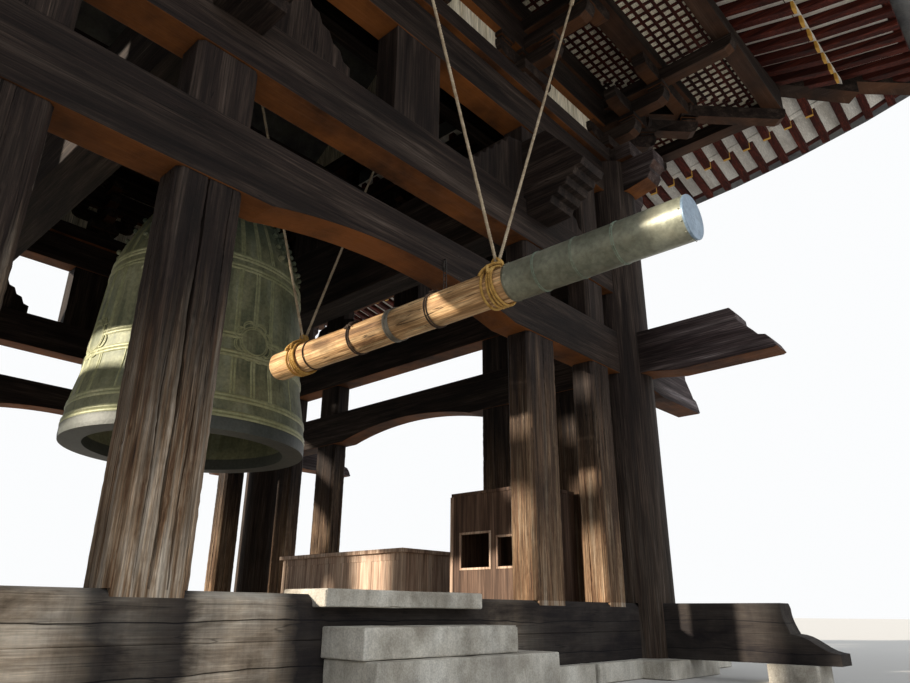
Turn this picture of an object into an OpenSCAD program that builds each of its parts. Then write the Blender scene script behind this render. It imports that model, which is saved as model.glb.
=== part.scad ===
// Wooden bell tower: open timber frame on a square plan, hip-and-gable tiled
// roof with upturned corners, one great bell and a hanging striker log.
// Origin at ground level under the middle of the tower, +Z up, millimetres.
// The striker and the steps are at the front, which faces -Y.

/* [Plan] */
// Half the distance between the corner column centres
half_bay = 3800; // [3600:10:4000]
// Radius of the round corner columns
column_r = 370; // [330:5:400]
// Distance of the inner posts from the middle of a side
inner_post_x = 1880; // [1800:10:1950]
// Width of the inner posts
inner_post_w = 480; // [420:10:520]
// Distance of the outer posts from the middle of a side
outer_post_x = 3050; // [3000:10:3100]
// Width of the outer posts
outer_post_w = 380; // [320:10:420]
// Depth of all posts
post_d = 290; // [250:5:298]
// Chamfer on the long edges of the posts
post_chamfer = 36; // [10:1:50]

/* [Ground and base] */
// Height of the footing stones
stone_h = 170; // [150:5:200]
// Height of the lower base timber
base_timber_h = 260; // [220:5:290]
// Height of the upper base timber, the sill
sill_h = 275; // [240:5:320]
// Thickness of both base timbers
sill_t = 300; // [298:2:340]
// Bevel along the outer top edge of the sill
sill_bevel = 45; // [30:1:60]
// How far the sill runs past a column centre
sill_nose = 1600; // [1300:10:1700]
// How far the lower base timber runs past a column centre
base_nose = 2000; // [1850:10:2100]
// How far the floor inside lies below the top of the sill
floor_drop = 45; // [10:5:90]

/* [Tie beams] */
// Thickness of the tie beams
tie_t = 320; // [300:5:350]
// Underside of the lower tie beam
lower_tie_z = 3280; // [3200:10:3350]
// Height of the lower tie beam
lower_tie_h = 530; // [480:10:560]
// Rise of the arched underside in the middle bay
lower_tie_arch = 175; // [120:5:220]
// Half length of that arch
lower_tie_arch_x = 1420; // [1300:10:1500]
// How far the lower tie beam runs past a column centre
lower_tie_nose = 1910; // [1850:10:2000]
// Clear height between the lower and the upper tie beam
tie_gap = 520; // [480:10:560]
// Height of the upper tie beam
upper_tie_h = 500; // [460:10:540]
// How far the upper tie beam runs past a column centre
upper_tie_end = 250; // [200:10:300]

/* [Head of the walls] */
// Height of the posts above the upper tie beam
head_gap = 1000; // [900:10:1050]
// Height of the head beam
head_beam_h = 460; // [400:10:500]
// Thickness of the head beam
head_beam_t = 300; // [280:5:340]
// How far the head beam runs past a column centre
head_beam_nose = 800; // [700:10:900]
// Height of the wall plate on the head beam
plate_h = 220; // [180:10:260]
// Width of the wall plate
plate_w = 440; // [400:10:520]
// How far the wall plate runs past a column centre
plate_end = 520; // [450:10:600]
// Width of the middle struts above the upper tie beam
strut_w = 590; // [520:10:640]
// Depth of the middle struts
strut_d = 280; // [250:5:300]

/* [Bell girders] */
// Distance of each girder from the middle of the tower
girder_x = 1880; // [1800:10:1950]
// Width of a girder
girder_w = 420; // [360:10:440]
// Depth of the girder below the top of the upper tie beam
girder_drop = 240; // [180:10:280]
// Height of the girder above the top of the upper tie beam
girder_rise = 770; // [700:10:820]
// How far the carved girder end runs past the wall centre
girder_nose = 900; // [800:10:950]
// Thickness of the carved corbels beside the girders
corbel_t = 260; // [220:5:290]
// Length of a corbel from the girder
corbel_len = 860; // [780:10:880]

/* [Brackets] */
// Height of the main bearing block
block_h = 240; // [200:5:260]
// Width of the main bearing block
block_w = 460; // [420:10:500]
// Height of a bracket arm
arm_h = 190; // [170:5:200]
// Width of a bracket arm
arm_w = 170; // [150:5:190]
// Height of a small block between two arms
small_block_h = 100; // [90:5:120]
// Width of a small block
small_block_w = 250; // [220:5:270]
// Length of one step outwards
bracket_step = 450; // [420:5:460]
// Distance of the outer purlin from the wall centre
outer_purlin_o = 1850; // [1800:10:1900]
// Half length of an arm that runs along the wall
arm_half = 530; // [480:10:560]

/* [Walls and ceilings] */
// Height of the lower boarded panels
panel_h = 530; // [500:10:560]
// Thickness of the wall boards
board_t = 40; // [30:1:60]
// Thickness of the wall tie above the lower panels
wall_tie_t = 240; // [200:10:260]
// Height of the wall tie
wall_tie_h = 400; // [380:10:420]
// Thickness of the lattice ceiling
lattice_t = 30; // [20:1:40]
// Height of the outer lattice ceiling over the bracket arms
outer_ceiling_rise = 170; // [150:5:180]
// Height of the inner lattice ceiling over the bracket arms
inner_ceiling_rise = 410; // [390:5:430]
// Width of the purlins
purlin_w = 220; // [180:10:260]
// Width of the purlin over the second step of the brackets
step_purlin_w = 280; // [220:10:320]

/* [Eaves] */
// Distance of the drip edge outside the columns
eave_out = 3800; // [3750:10:3900]
// Rise of the eave at the corners
eave_lift = 680; // [400:10:800]
// Sharpness of that rise
eave_power = 3.15; // [2.5:0.05:4]
// Distance of the base rafter ends outside the columns
base_out = 2700; // [2600:10:2800]
// Height of the base rafter ends above the ground, in the middle of a side
base_end_z = 7480; // [7450:5:7500]
// Slope of the base rafters
base_slope = 0.28; // [0.24:0.01:0.32]
// Spacing of the rafters
rafter_pitch = 330; // [300:5:380]
// Width of a rafter
rafter_w = 110; // [90:5:130]
// Height of a base rafter
base_rafter_h = 120; // [100:5:140]
// Height of a flying rafter
fly_rafter_h = 100; // [80:5:120]
// Distance of the flying rafter ends outside the columns
fly_out = 3580; // [3500:10:3620]
// Slope of the flying rafters
fly_slope = 0.20; // [0.15:0.01:0.24]
// Height of the batten on the base rafter ends
batten_h = 90; // [70:5:110]
// Thickness of the eave boards
eave_board_t = 30; // [20:1:40]
// Height of the fascia on the flying rafter ends
fascia_h = 101; // [80:1:110]
// Width of the hip rafters
hip_w = 260; // [220:10:300]

/* [Roof] */
// Height of the roof skin at the drip edge, in the middle of a side
roof_z = 7800; // [7750:5:7850]
// Slope of the roof at the eave
roof_slope = 0.38; // [0.32:0.01:0.42]
// Added slope per metre towards the ridge
roof_curve = 0.0293; // [0.02:0.001:0.035]
// Thickness of the roof skin
roof_t = 160; // [140:5:170]
// Distance of the gable walls outside the columns
gable_out = 150; // [0:10:300]
// Overhang of the gable roof
gable_over = 500; // [400:10:560]
// Height of the main ridge
ridge_h = 620; // [500:10:700]
// Width of the main ridge
ridge_w = 340; // [300:10:400]

/* [Bell] */
// Distance of the bell and the striker right of the middle
hang_x = 200; // [0:10:250]
// Height of the bell's mouth above the ground
bell_z = 2340; // [2280:10:2400]
// Radius of the bell at its mouth
bell_r = 1345; // [1300:5:1355]
// Height of the bell without its loop
bell_h = 3110; // [3050:10:3150]
// Thickness of the bell's lip
bell_lip = 240; // [200:5:250]
// Thickness of the bell's wall
bell_wall = 130; // [110:5:150]
// Height of the bell's loop
loop_h = 740; // [700:10:760]
// Radius of the iron pin that carries the bell
bell_pin_r = 60; // [50:1:70]

/* [Striker] */
// Height of the striker's axis
striker_z = 2990; // [2900:5:3050]
// Radius of the striker log
striker_r = 148; // [130:1:155]
// Length of the striker in front of the front ropes
striker_out = 1610; // [1500:10:1700]
// Back end of the striker
striker_back = -1780; // [-1900:10:-1750]
// Distance from the front ropes to the back end of the metal sheath
sheath_gap = 150; // [140:10:200]
// Thickness of the sheath
sheath_t = 5; // [3:1:8]
// Distance of the back ropes from the middle
far_rope_y = -2160; // [-2200:10:-2120]
// Half distance between the upper ends of the front ropes
near_spread = 1500; // [1490:1:1506]
// Half distance between the upper ends of the back ropes
far_spread = 1300; // [1100:10:1400]
// Radius of the ropes
rope_r = 15; // [12:1:18]
// Radius of the rope pins
rope_pin_r = 14; // [12:1:16]
// Height of the lower rope pins above the striker's surface
rope_pin_rise = 75; // [65:1:90]
// Drop of the upper rope pins below their beam
rope_pin_drop = 90; // [80:1:120]

/* [Fits] */
// Clearance of a pin in its eye
pin_clear = 1; // [0.5:0.1:2]
// Clearance between the faces of moving pieces
side_clear = 6; // [5:0.5:8]
// Clearance of a round piece in its seat
seat_clear = 0.3; // [0.2:0.05:0.5]

/* [Hidden] */

dark = "#4a3b30";
grey_wood = "#7a6b5a";
red = "#9c3b26";
white = "#e6dfcf";
stone = "#b9b4a8";
tile = "#5c6064";

eave_e = half_bay + eave_out;
base_end = half_bay + base_out;
fly_end = half_bay + fly_out;
gable_x = half_bay + gable_out;
beyond = 2 * eave_e;
base_top = stone_h + base_timber_h;
sill_top = base_top + sill_h;
floor_z = sill_top - floor_drop;
lower_tie_top = lower_tie_z + lower_tie_h;
upper_tie_z = lower_tie_top + tie_gap;
upper_tie_top = upper_tie_z + upper_tie_h;
head_z = upper_tie_top + head_gap;
head_top = head_z + head_beam_h;
plate_top = head_top + plate_h;
arm_z = plate_top + block_h;
tier = arm_h + small_block_h;
arms_top = arm_z + 2 * tier + arm_h;
wall_tie_z = arm_z + tier;
wall_tie_top = wall_tie_z + wall_tie_h;
outer_ceiling_z = arms_top + outer_ceiling_rise;
inner_ceiling_z = arms_top + inner_ceiling_rise;
step_o = 2 * bracket_step;
near_rope_y = -half_bay - step_o;
striker_front = near_rope_y - striker_out;
sheath_back = near_rope_y - sheath_gap;
girder_z = upper_tie_top - girder_drop;
girder_top = upper_tie_top + girder_rise;
sides = [0, 90, 180, 270];
bracket_x = [-inner_post_x, 0, inner_post_x];
side_posts = [[inner_post_x, inner_post_w], [outer_post_x, outer_post_w]];
crown_z = bell_z + bell_h;
loop_top = crown_z + loop_h;
pin_z = loop_top - 190;
beam_z = loop_top + 60;
near_pin_z = striker_z + striker_r + rope_pin_rise;
rope_top_z = arms_top - arm_h - rope_pin_drop;
rope_len = rope_top_z - near_pin_z;

// four sides of the square
module each_side() {
    for (a = sides) rotate(a) children();
}

// post with chamfered long edges, standing on z = z0
module post(x, w, z0, z1) {
    c = post_chamfer;
    translate([x, -half_bay, z0]) linear_extrude(z1 - z0)
        polygon([[-w / 2 + c, -post_d / 2], [w / 2 - c, -post_d / 2], [w / 2, -post_d / 2 + c],
            [w / 2, post_d / 2 - c], [w / 2 - c, post_d / 2], [-w / 2 + c, post_d / 2],
            [-w / 2, post_d / 2 - c], [-w / 2, -post_d / 2 + c]]);
}

// beam along a side, from its outline in x and z
module side_beam(points, t) {
    translate([0, -half_bay + t / 2, 0]) rotate([90, 0, 0]) linear_extrude(t) polygon(points);
}

// beams that cross at the corner columns: the front and back ones keep their lower
// half there, the side ones their upper half
module crossed(t, z0, z1) {
    w = t + 2 * seat_clear;
    h = (z1 - z0) / 2;
    for (a = sides) rotate(a) difference() {
        children();
        for (x = [-half_bay, half_bay]) translate([x - w / 2, -half_bay - w / 2, 0])
            if (a % 180 == 0) translate([0, 0, z0 + h]) cube([w, w, h + 1]);
            else translate([0, 0, z0 - 1]) cube([w, w, h + 1 + seat_clear]);
    }
}

// outline of a beam with the same carved end left and right
function flip(p) = [for (i = [len(p) - 1:-1:0]) p[i]];
function both_ends(half) = concat(half, [for (p = flip(half)) [-p[0], p[1]]]);

module ground_floor() {
    f = half_bay - sill_t / 2;
    color(stone) difference() {
        translate([-f, -f, 0]) cube([2 * f, 2 * f, floor_z]);
        for (x = [-half_bay, half_bay], y = [-half_bay, half_bay])
            translate([x, y, -1]) cylinder(r = column_r + seat_clear, h = floor_z + 2, $fn = 72);
        all_footings();
    }
}

stone_pitch = 960;
footing_l = 900;
footing_w = 520;
corner_footing_w = 1150;

module footing(x) {
    translate([x - footing_l / 2, -half_bay - footing_w / 2, 0]) cube([footing_l, footing_w, stone_h]);
}

module corner_footing(x, y) {
    translate([x - corner_footing_w / 2, y - corner_footing_w / 2, 0])
        cube([corner_footing_w, corner_footing_w, stone_h]);
}

module all_footings() {
    each_side() for (i = [-3:3]) footing(i * stone_pitch);
    for (x = [-half_bay, half_bay], y = [-half_bay, half_bay]) corner_footing(x, y);
}

module footing_stones() {
    color(stone) {
        all_footings();
        each_side() for (s = [-1, 1])
            translate([s * (half_bay + base_nose - 420) - 230, -half_bay - 210, 0])
                cube([460, 420, stone_h]);
    }
}

// stones laid against the front base timbers: left and right end, distance of the
// front from the sill, top and underside
tread_top = sill_top + 35;
treads = [[-805, 720, 140, tread_top, tread_top - 115], [-720, 800, 420, tread_top - 225, 325],
    [-690, 1200, 510, 325, 0]];
slab_back = 330;

module stone_steps() {
    front = half_bay + sill_t / 2;
    color(stone) difference() {
        union() {
            for (t = treads) translate([t[0], -front - t[2], t[4]]) cube([t[1] - t[0], t[2], t[3] - t[4]]);
            // the upper slab lies over the sill
            translate([treads[0][0], -front - treads[0][2], sill_top])
                cube([treads[0][1] - treads[0][0], treads[0][2] + slab_back, tread_top - sill_top]);
        }
        all_footings();
    }
}

module beam_slots() {
    each_side() {
        side_beam(base_outline(), sill_t);
        side_beam(sill_outline(), sill_t);
        side_beam(lower_tie_outline(), tie_t);
        side_beam(upper_tie_outline(), tie_t);
        side_beam(head_outline(), head_beam_t);
    }
}

module corner_columns() {
    color(dark) difference() {
        for (x = [-half_bay, half_bay], y = [-half_bay, half_bay])
            translate([x, y, stone_h]) cylinder(r = column_r, h = head_top - stone_h, $fn = 72);
        beam_slots();
    }
}

// lower base timber: the end is an ogee below the sill's end
function base_outline() = let (e = half_bay + base_nose, k = half_bay + sill_nose)
    both_ends(concat([[e, stone_h], [e, stone_h + 100]],
        [for (i = [0:8]) let (t = i / 8) [e - (e - k) * t, stone_h + 100 + (base_timber_h - 100)
            * (t - sin(360 * t) / 9)]]));

module base_timbers() {
    color(grey_wood) crossed(sill_t, stone_h, base_top) side_beam(base_outline(), sill_t);
}

// sill: concave cut under the nose
function sill_outline() = let (k = half_bay + sill_nose)
    both_ends(concat([[k, base_top]],
        [for (i = [1:5]) [k - 60 * sin(18 * i), base_top + 210 * i / 5]],
        [[k - 60, sill_top]]));

module sill_beams() {
    color(grey_wood) crossed(sill_t, base_top, sill_top) difference() {
        side_beam(sill_outline(), sill_t);
        // bevel along the outer top edge
        translate([0, -half_bay - sill_t / 2, sill_top]) rotate([45, 0, 0])
            cube([4 * half_bay, sill_bevel * sqrt(2), sill_bevel * sqrt(2)], center = true);
    }
}

// carved end of the lower tie beam: a stepped slope down to the tip
function nose_top(n) = [[n - 440, 0], [n - 375, -95], [n - 370, -165], [n - 220, -330],
    [n - 180, -385], [n - 100, -405], [n - 45, -470], [n, -560]];

arch_r = (pow(lower_tie_arch_x, 2) + pow(lower_tie_arch, 2)) / (2 * lower_tie_arch);
arch_a = asin(lower_tie_arch_x / arch_r);
function arch_point(a) = [arch_r * sin(a), lower_tie_z + lower_tie_arch - arch_r + arch_r * cos(a)];
function lower_tie_half() = concat([for (i = [1:12]) arch_point(arch_a * i / 12)],
    [[half_bay + 440, lower_tie_z], [half_bay + 780, lower_tie_z - 55],
        [half_bay + lower_tie_nose - 30, lower_tie_z - 45]],
    [for (p = flip(nose_top(lower_tie_nose))) [half_bay + p[0], lower_tie_top + p[1]]]);
function lower_tie_outline() = concat([arch_point(0)], both_ends(lower_tie_half()));

module lower_ties() {
    color(dark) crossed(tie_t, lower_tie_z, lower_tie_top) side_beam(lower_tie_outline(), tie_t);
}

function upper_tie_outline() = let (e = half_bay + upper_tie_end)
    [[-e, upper_tie_z], [e, upper_tie_z], [e, upper_tie_top], [-e, upper_tie_top]];

module upper_ties() {
    color(dark) crossed(tie_t, upper_tie_z, upper_tie_top) side_beam(upper_tie_outline(), tie_t);
}

module lower_posts() {
    d = post_d / 2;
    b = sill_t / 2 - sill_bevel;
    color(grey_wood) each_side() for (s = [-1, 1], p = side_posts) {
        post(s * p[0], p[1], sill_top, lower_tie_z);
        // foot let down over the bevel of the sill
        translate([s * p[0] + p[1] / 2 - post_chamfer, -half_bay, 0]) rotate([90, 0, -90])
            linear_extrude(p[1] - 2 * post_chamfer)
                polygon([[b, sill_top], [d, sill_top], [d, sill_top - (d - b)]]);
    }
}

module middle_posts() {
    color(dark) each_side() for (s = [-1, 1], p = side_posts)
        post(s * p[0], p[1], lower_tie_top, upper_tie_z);
}

module upper_posts() {
    color(dark) {
        each_side() for (s = [-1, 1]) post(s * outer_post_x, outer_post_w, upper_tie_top, head_z);
        for (a = [90, 270]) rotate(a) for (s = [-1, 1])
            post(s * inner_post_x, inner_post_w, upper_tie_top, head_z);
        for (a = [0, 180]) rotate(a) for (s = [-1, 1])
            translate([s * girder_x - girder_w / 2, -half_bay - corbel_t / 2, girder_top])
                cube([girder_w, corbel_t, head_z - girder_top]);
    }
}

module centre_struts() {
    color(dark) each_side() translate([-strut_w / 2, -half_bay - strut_d / 2, upper_tie_top])
        cube([strut_w, strut_d, head_gap]);
}

// carved corbel: stepped slope, x measured from the piece it leans on
function corbel_outline(len, h) = concat([[0, 0], [len, 0], [len, 0.16 * h]],
    [for (i = [1:5]) each [[len * (1 - 0.14 * i) + 0.05 * len, h * (0.16 + 0.152 * (i - 1) + 0.03)],
        [len * (1 - 0.14 * i), h * (0.16 + 0.152 * i)]]],
    [[0, h]]);

module wing(x, dir, len) {
    translate([x, -half_bay + corbel_t / 2, upper_tie_top]) rotate([90, 0, 0])
        linear_extrude(corbel_t) polygon([for (p = corbel_outline(len, girder_rise)) [dir * p[0], p[1]]]);
}

module wing_corbels() {
    out_len = outer_post_x - outer_post_w / 2 - girder_x - girder_w / 2;
    side_out = outer_post_x - outer_post_w / 2 - inner_post_x - inner_post_w / 2;
    color(dark) {
        for (a = [0, 180]) rotate(a) for (s = [-1, 1]) {
            wing(s * (girder_x - girder_w / 2), -s, corbel_len);
            wing(s * (girder_x + girder_w / 2), s, out_len);
        }
        for (a = [90, 270]) rotate(a) for (s = [-1, 1]) {
            wing(s * (inner_post_x - inner_post_w / 2), -s, corbel_len);
            wing(s * (inner_post_x + inner_post_w / 2), s, side_out);
        }
    }
}

// girder seen from the side: y and z, with toothed ends
function girder_half() = let (y0 = half_bay + tie_t / 2, n = girder_nose, o = half_bay)
    concat([[half_bay - tie_t / 2, girder_z], [half_bay - tie_t / 2, upper_tie_top], [y0, upper_tie_top],
        [y0, girder_z + 60], [o + 400, girder_z + 70]],
        [for (i = [1:5]) each [[o + 400 + (n - 400) * (i - 0.35) / 5, girder_z + 70 + 380 * (i - 0.9) / 5],
            [o + 400 + (n - 400) * i / 5, girder_z + 70 + 380 * i / 5]]],
        [[o + 450, girder_top]]);

module bell_girders() {
    color(dark) for (s = [-1, 1])
        translate([s * girder_x - girder_w / 2, 0, 0]) rotate([90, 0, 90]) linear_extrude(girder_w)
            polygon(both_ends(girder_half()));
}

function head_outline() = let (e = half_bay + head_beam_nose)
    both_ends([[half_bay + 380, head_z], [e - 120, head_z + 60], [e - 60, head_z + 150],
        [e - 70, head_z + 210], [e, head_z + 300], [e, head_top]]);

module head_beams() {
    color(dark) crossed(head_beam_t, head_z, head_top) side_beam(head_outline(), head_beam_t);
}

module wall_plates() {
    e = half_bay + plate_end;
    color(dark) crossed(plate_w, head_top, plate_top)
        translate([-e, -half_bay - plate_w / 2, head_top]) cube([2 * e, plate_w, plate_h]);
}

// bearing block: narrow foot, wide head
module bearing_block(w, h) {
    translate([-w * 0.39, -w * 0.39, 0]) cube([w * 0.78, w * 0.78, h * 0.4]);
    translate([-w / 2, -w / 2, h * 0.4]) cube([w, w, h * 0.6]);
}

// arm along x from x0 to x1 with its lower corners cut up
module arm(x0, x1, z) {
    c = arm_h * 0.6;
    translate([0, arm_w / 2, 0]) rotate([90, 0, 0]) linear_extrude(arm_w)
        polygon([[x0 + c, z], [x1 - c, z], [x1 - c * 0.3, z + c * 0.35], [x1, z + c], [x1, z + arm_h],
            [x0, z + arm_h], [x0, z + c], [x0 + c * 0.3, z + c * 0.35]]);
}

// one bracket set on the wall plate, outwards is -y
module bracket_set() {
    translate([0, 0, plate_top]) bearing_block(block_w, block_h);
    arm(-arm_half, arm_half, arm_z);
    for (x = [-arm_half + small_block_w / 2, 0, arm_half - small_block_w / 2])
        translate([x, 0, arm_z + arm_h]) bearing_block(small_block_w, small_block_h);
    out_arms(bracket_step, step_o, outer_purlin_o);
    for (o = [step_o, outer_purlin_o]) translate([0, -o, 0]) arm(-arm_half, arm_half, arm_z + 2 * tier);
}

module out_arms(o1, o2, o3) {
    reach = small_block_w / 2;
    rotate(-90) {
        arm(-bracket_step, o1 + reach, arm_z);
        arm(-bracket_step, o2 + reach, arm_z + tier);
        arm(-bracket_step, o3 + reach, arm_z + 2 * tier);
    }
    translate([0, -o1, arm_z + arm_h]) bearing_block(small_block_w, small_block_h);
    for (o = [0, o2]) translate([0, -o, arm_z + tier + arm_h]) bearing_block(small_block_w, small_block_h);
}

module middle_brackets() {
    color(dark) each_side() for (x = bracket_x) translate([x, -half_bay, 0]) bracket_set();
}

// bracket set on a corner column, outwards along both walls and the diagonal
module corner_brackets() {
    color(dark) each_side() translate([half_bay, -half_bay, 0]) {
        translate([0, 0, plate_top]) bearing_block(block_w, block_h);
        corner_half();
        mirror([1, 1, 0]) corner_half();
        rotate(45) out_arms(bracket_step * sqrt(2), step_o * sqrt(2), outer_purlin_o * sqrt(2));
    }
}

// arms out over one wall, and the arms across them that meet those over the other wall
module corner_half() {
    out_arms(bracket_step, step_o, outer_purlin_o);
    for (i = [1, 2]) translate([0, -i * bracket_step, 0])
        arm(-arm_half, i * bracket_step + small_block_w / 2, arm_z + i * tier);
}

module wall_band(z, h, t) {
    each_side() band(half_bay - t / 2, half_bay + t / 2, z, h);
}

module lower_wall_boards() {
    color(white) difference() {
        wall_band(plate_top, wall_tie_z - plate_top, board_t);
        middle_brackets();
        corner_brackets();
    }
}

module wall_ties() {
    color(dark) difference() {
        wall_band(wall_tie_z, wall_tie_h, wall_tie_t);
        middle_brackets();
        corner_brackets();
    }
}

module upper_wall_boards() {
    color(white) difference() {
        wall_band(wall_tie_top, arms_top - wall_tie_top, board_t);
        middle_brackets();
        corner_brackets();
    }
}

// outer ceiling level with the brackets, inner one a step higher
module lattice_ceilings() {
    color(red) each_side() {
        band(step_out, half_bay + outer_purlin_o - purlin_w / 2, outer_ceiling_z, lattice_t);
        band(half_bay + board_t, step_in, inner_ceiling_z, lattice_t);
    }
}

// extra height of the eaves at distance s from the middle of a side
function eave(s) = eave_lift * pow(abs(s) / eave_e, eave_power);
function base_under(s, u) = base_end_z + base_slope * (base_end - u) + eave(s);
fly_end_z = base_end_z + base_rafter_h + batten_h - fly_slope * (fly_end - base_end);
function fly_under(s, u) = fly_end_z + fly_slope * (fly_end - u) + eave(s);
wall_in = half_bay - wall_tie_t / 2;
wall_out = half_bay + wall_tie_t / 2;
fly_start = base_end - 500;
rafters_base = floor((base_end - 320) / rafter_pitch);
rafters_fly = floor((fly_end - 320) / rafter_pitch);

// everything between the two diagonals of the front side
mitre_gap = seat_clear / sqrt(2);
module sector() {
    b = beyond;
    translate([0, 0, plate_top]) linear_extrude(b)
        polygon([[0, -mitre_gap], [-b, -b - mitre_gap], [b, -b - mitre_gap]]);
}

// band of one side between two distances from the middle
module band(u0, u1, z0, h) {
    g = mitre_gap;
    translate([0, 0, z0]) linear_extrude(h)
        polygon([[-u0 + g, -u0], [-u1 + g, -u1], [u1 - g, -u1], [u0 - g, -u0]]);
}

// line over a row of rafters: level on each rafter, straight between two
function row_line(n) = concat([[-eave_e, eave(eave_e)]],
    [for (i = [-n:n], e = [-1, 1]) [i * rafter_pitch + e * rafter_w / 2, eave(i * rafter_pitch)]],
    [[eave_e, eave(eave_e)]]);

// prism that follows a row of rafters: end at distance u1 and height z1, given slope,
// from height lo to height hi above the rafters' underside
module on_slope(n, u0, u1, z1, slope, lo, hi) {
    a = atan(slope);
    line = row_line(n);
    m = len(line) - 1;
    translate([0, -u1, z1]) rotate([a - 90, 0, 0]) linear_extrude((u1 - u0) / cos(a))
        polygon(concat([for (p = line) [p[0], -(p[1] + lo) * cos(a)]],
            [for (i = [m:-1:0]) [line[i][0], -(line[i][1] + hi) * cos(a)]]));
}

module on_base(u0, u1, lo, hi) {
    on_slope(rafters_base, u0, u1, base_end_z + base_slope * (base_end - u1), base_slope, lo, hi);
}

module on_fly(u0, u1, lo, hi) {
    on_slope(rafters_fly, u0, u1, fly_end_z + fly_slope * (fly_end - u1), fly_slope, lo, hi);
}

// straight rafter, u0 and u1 its ends, z1 the underside at u1
module rafter(s, u0, u1, z1, slope, h) {
    z0 = z1 + slope * (u1 - u0);
    translate([s - rafter_w / 2, 0, 0]) rotate([90, 0, 90]) linear_extrude(rafter_w)
        polygon([[-u1, z1], [-u0, z0], [-u0, z0 + h], [-u1, z1 + h]]);
}

module rafter_row(n, start, end, z_end, slope, h) {
    each_side() for (i = [-n:n]) {
        s = i * rafter_pitch;
        if (abs(s) < start - 260) rafter(s, start, end, z_end + eave(s), slope, h);
        else difference() {
            intersection() {
                rafter(s, max(start, abs(s) - rafter_w), end, z_end + eave(s), slope, h);
                sector();
            }
            front_hips();
        }
    }
}

module base_rafters() {
    color(red) rafter_row(rafters_base, wall_in, base_end, base_end_z, base_slope, base_rafter_h);
}

module flying_rafters() {
    color(red) rafter_row(rafters_fly, fly_start, fly_end, fly_end_z, fly_slope, fly_rafter_h);
}

module eave_boards() {
    color(white) each_side() difference() {
        intersection() {
            band(wall_in, base_end - 100, base_end_z, 2000);
            on_base(wall_in - 300, base_end + 300, base_rafter_h + seat_clear, base_rafter_h + eave_board_t);
        }
        front_hips();
        attic_posts();
    }
    color(white) each_side() difference() {
        intersection() {
            band(fly_start, fly_end - 90, base_end_z, 2000);
            on_fly(fly_start - 300, fly_end + 300, fly_rafter_h + seat_clear, fly_rafter_h + eave_board_t);
        }
        front_hips();
    }
}

module eave_battens() {
    color(red) each_side() difference() {
        intersection() {
            band(base_end - 85, base_end - 10, base_end_z, 1000);
            on_base(base_end - 200, base_end + 100, base_rafter_h + seat_clear, base_rafter_h + 400);
            on_fly(base_end - 300, base_end + 200, -400, -seat_clear);
        }
        front_hips();
    }
}

module eave_fascia() {
    color(red) each_side() difference() {
        intersection() {
            band(fly_end - 80, fly_end, base_end_z, 2000);
            on_fly(fly_end - 300, fly_end + 300, fly_rafter_h + seat_clear, fly_rafter_h + fascia_h);
        }
        front_hips();
    }
}

// purlin on the bracket arms, its top cut to the slope of the rafters
module slope_purlin(u0, u1) {
    difference() {
        intersection() {
            band(u0, u1, arms_top + seat_clear, beyond);
            on_base(u0 - 400, u1 + 400, -beyond, -seat_clear);
        }
        front_hips();
    }
}

step_in = half_bay + step_o - step_purlin_w / 2;
step_out = half_bay + step_o + step_purlin_w / 2;
module step_purlins() {
    color(dark) each_side() slope_purlin(step_in, step_out);
}

module outer_purlins() {
    o = half_bay + outer_purlin_o;
    color(dark) each_side() slope_purlin(o - purlin_w / 2, o + purlin_w / 2);
}

// timbers on top of the wall that carry the inner ends of the rafters
top_beam_h = 240;
top_plate_z = arms_top + 500;
module wall_top_beams() {
    color(dark) {
        each_side() band(wall_in, wall_out, arms_top + seat_clear, top_beam_h - seat_clear);
        each_side() band(half_bay - board_t, half_bay + board_t, arms_top + top_beam_h,
            top_plate_z - arms_top - top_beam_h);
        each_side() difference() {
            intersection() {
                band(wall_in, wall_out, top_plate_z, beyond);
                on_base(wall_in - 300, wall_out + 300, -beyond, -seat_clear);
            }
            front_hips();
        }
    }
}

// hip rafter on the diagonal: base part and, a step higher, flying part
hip_step = base_end + 60;
hip_end = fly_end + 40;
hip_side = hip_w / 2 / sqrt(2);
function hip_bottom(c) = c < hip_step ? base_under(c, c) - 40 : fly_under(c, c) - 60;
function hip_top(c) = min(hip_bottom(c) + 380, roof_top(c - hip_side, c + hip_side) - roof_t - 15);
hip_low = [wall_in + 20, 4600, 5300, 5900, hip_step - 1];
hip_high = [hip_step, 6900, 7150, hip_end];

module hip(dir) {
    cs = concat(hip_low, hip_high);
    n = len(cs) - 1;
    rotate(dir * 45) rotate([90, 0, 90]) translate([0, 0, -hip_w / 2]) linear_extrude(hip_w)
        polygon(concat([for (c = cs) [-c * sqrt(2), hip_bottom(c)]],
            [for (i = [n:-1:0]) [-cs[i] * sqrt(2), hip_top(cs[i])]]));
}

module front_hips() {
    hip(-1);
    hip(1);
}

module hip_rafters() {
    color(dark) each_side() hip(1);
}

// height of the roof skin at distance u from the middle, s along the side
function roof_profile(u) = let (d = eave_e - u) roof_z + roof_slope * d + roof_curve * d * d / 1000;
lift_end = fly_end - 80;
function roof_top(s, u) = roof_profile(u)
    + eave(s) * sqrt(max(0, min(1, (u - gable_x) / (lift_end - gable_x))));
skin_n = 8;
skin_m = 14;
skin_us = concat([eave_e], [for (i = [0:skin_n - 1]) lift_end + (gable_x - lift_end) * i / (skin_n - 1)]);

// point j of a square ring at distance u
function ring_s(j, u) = (-1 + 2 * (j % skin_m) / skin_m) * u;
function ring_xy(j, u) = let (k = floor(j / skin_m), s = ring_s(j, u))
    k == 0 ? [s, -u] : k == 1 ? [u, s] : k == 2 ? [-s, u] : [-u, -s];

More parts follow.
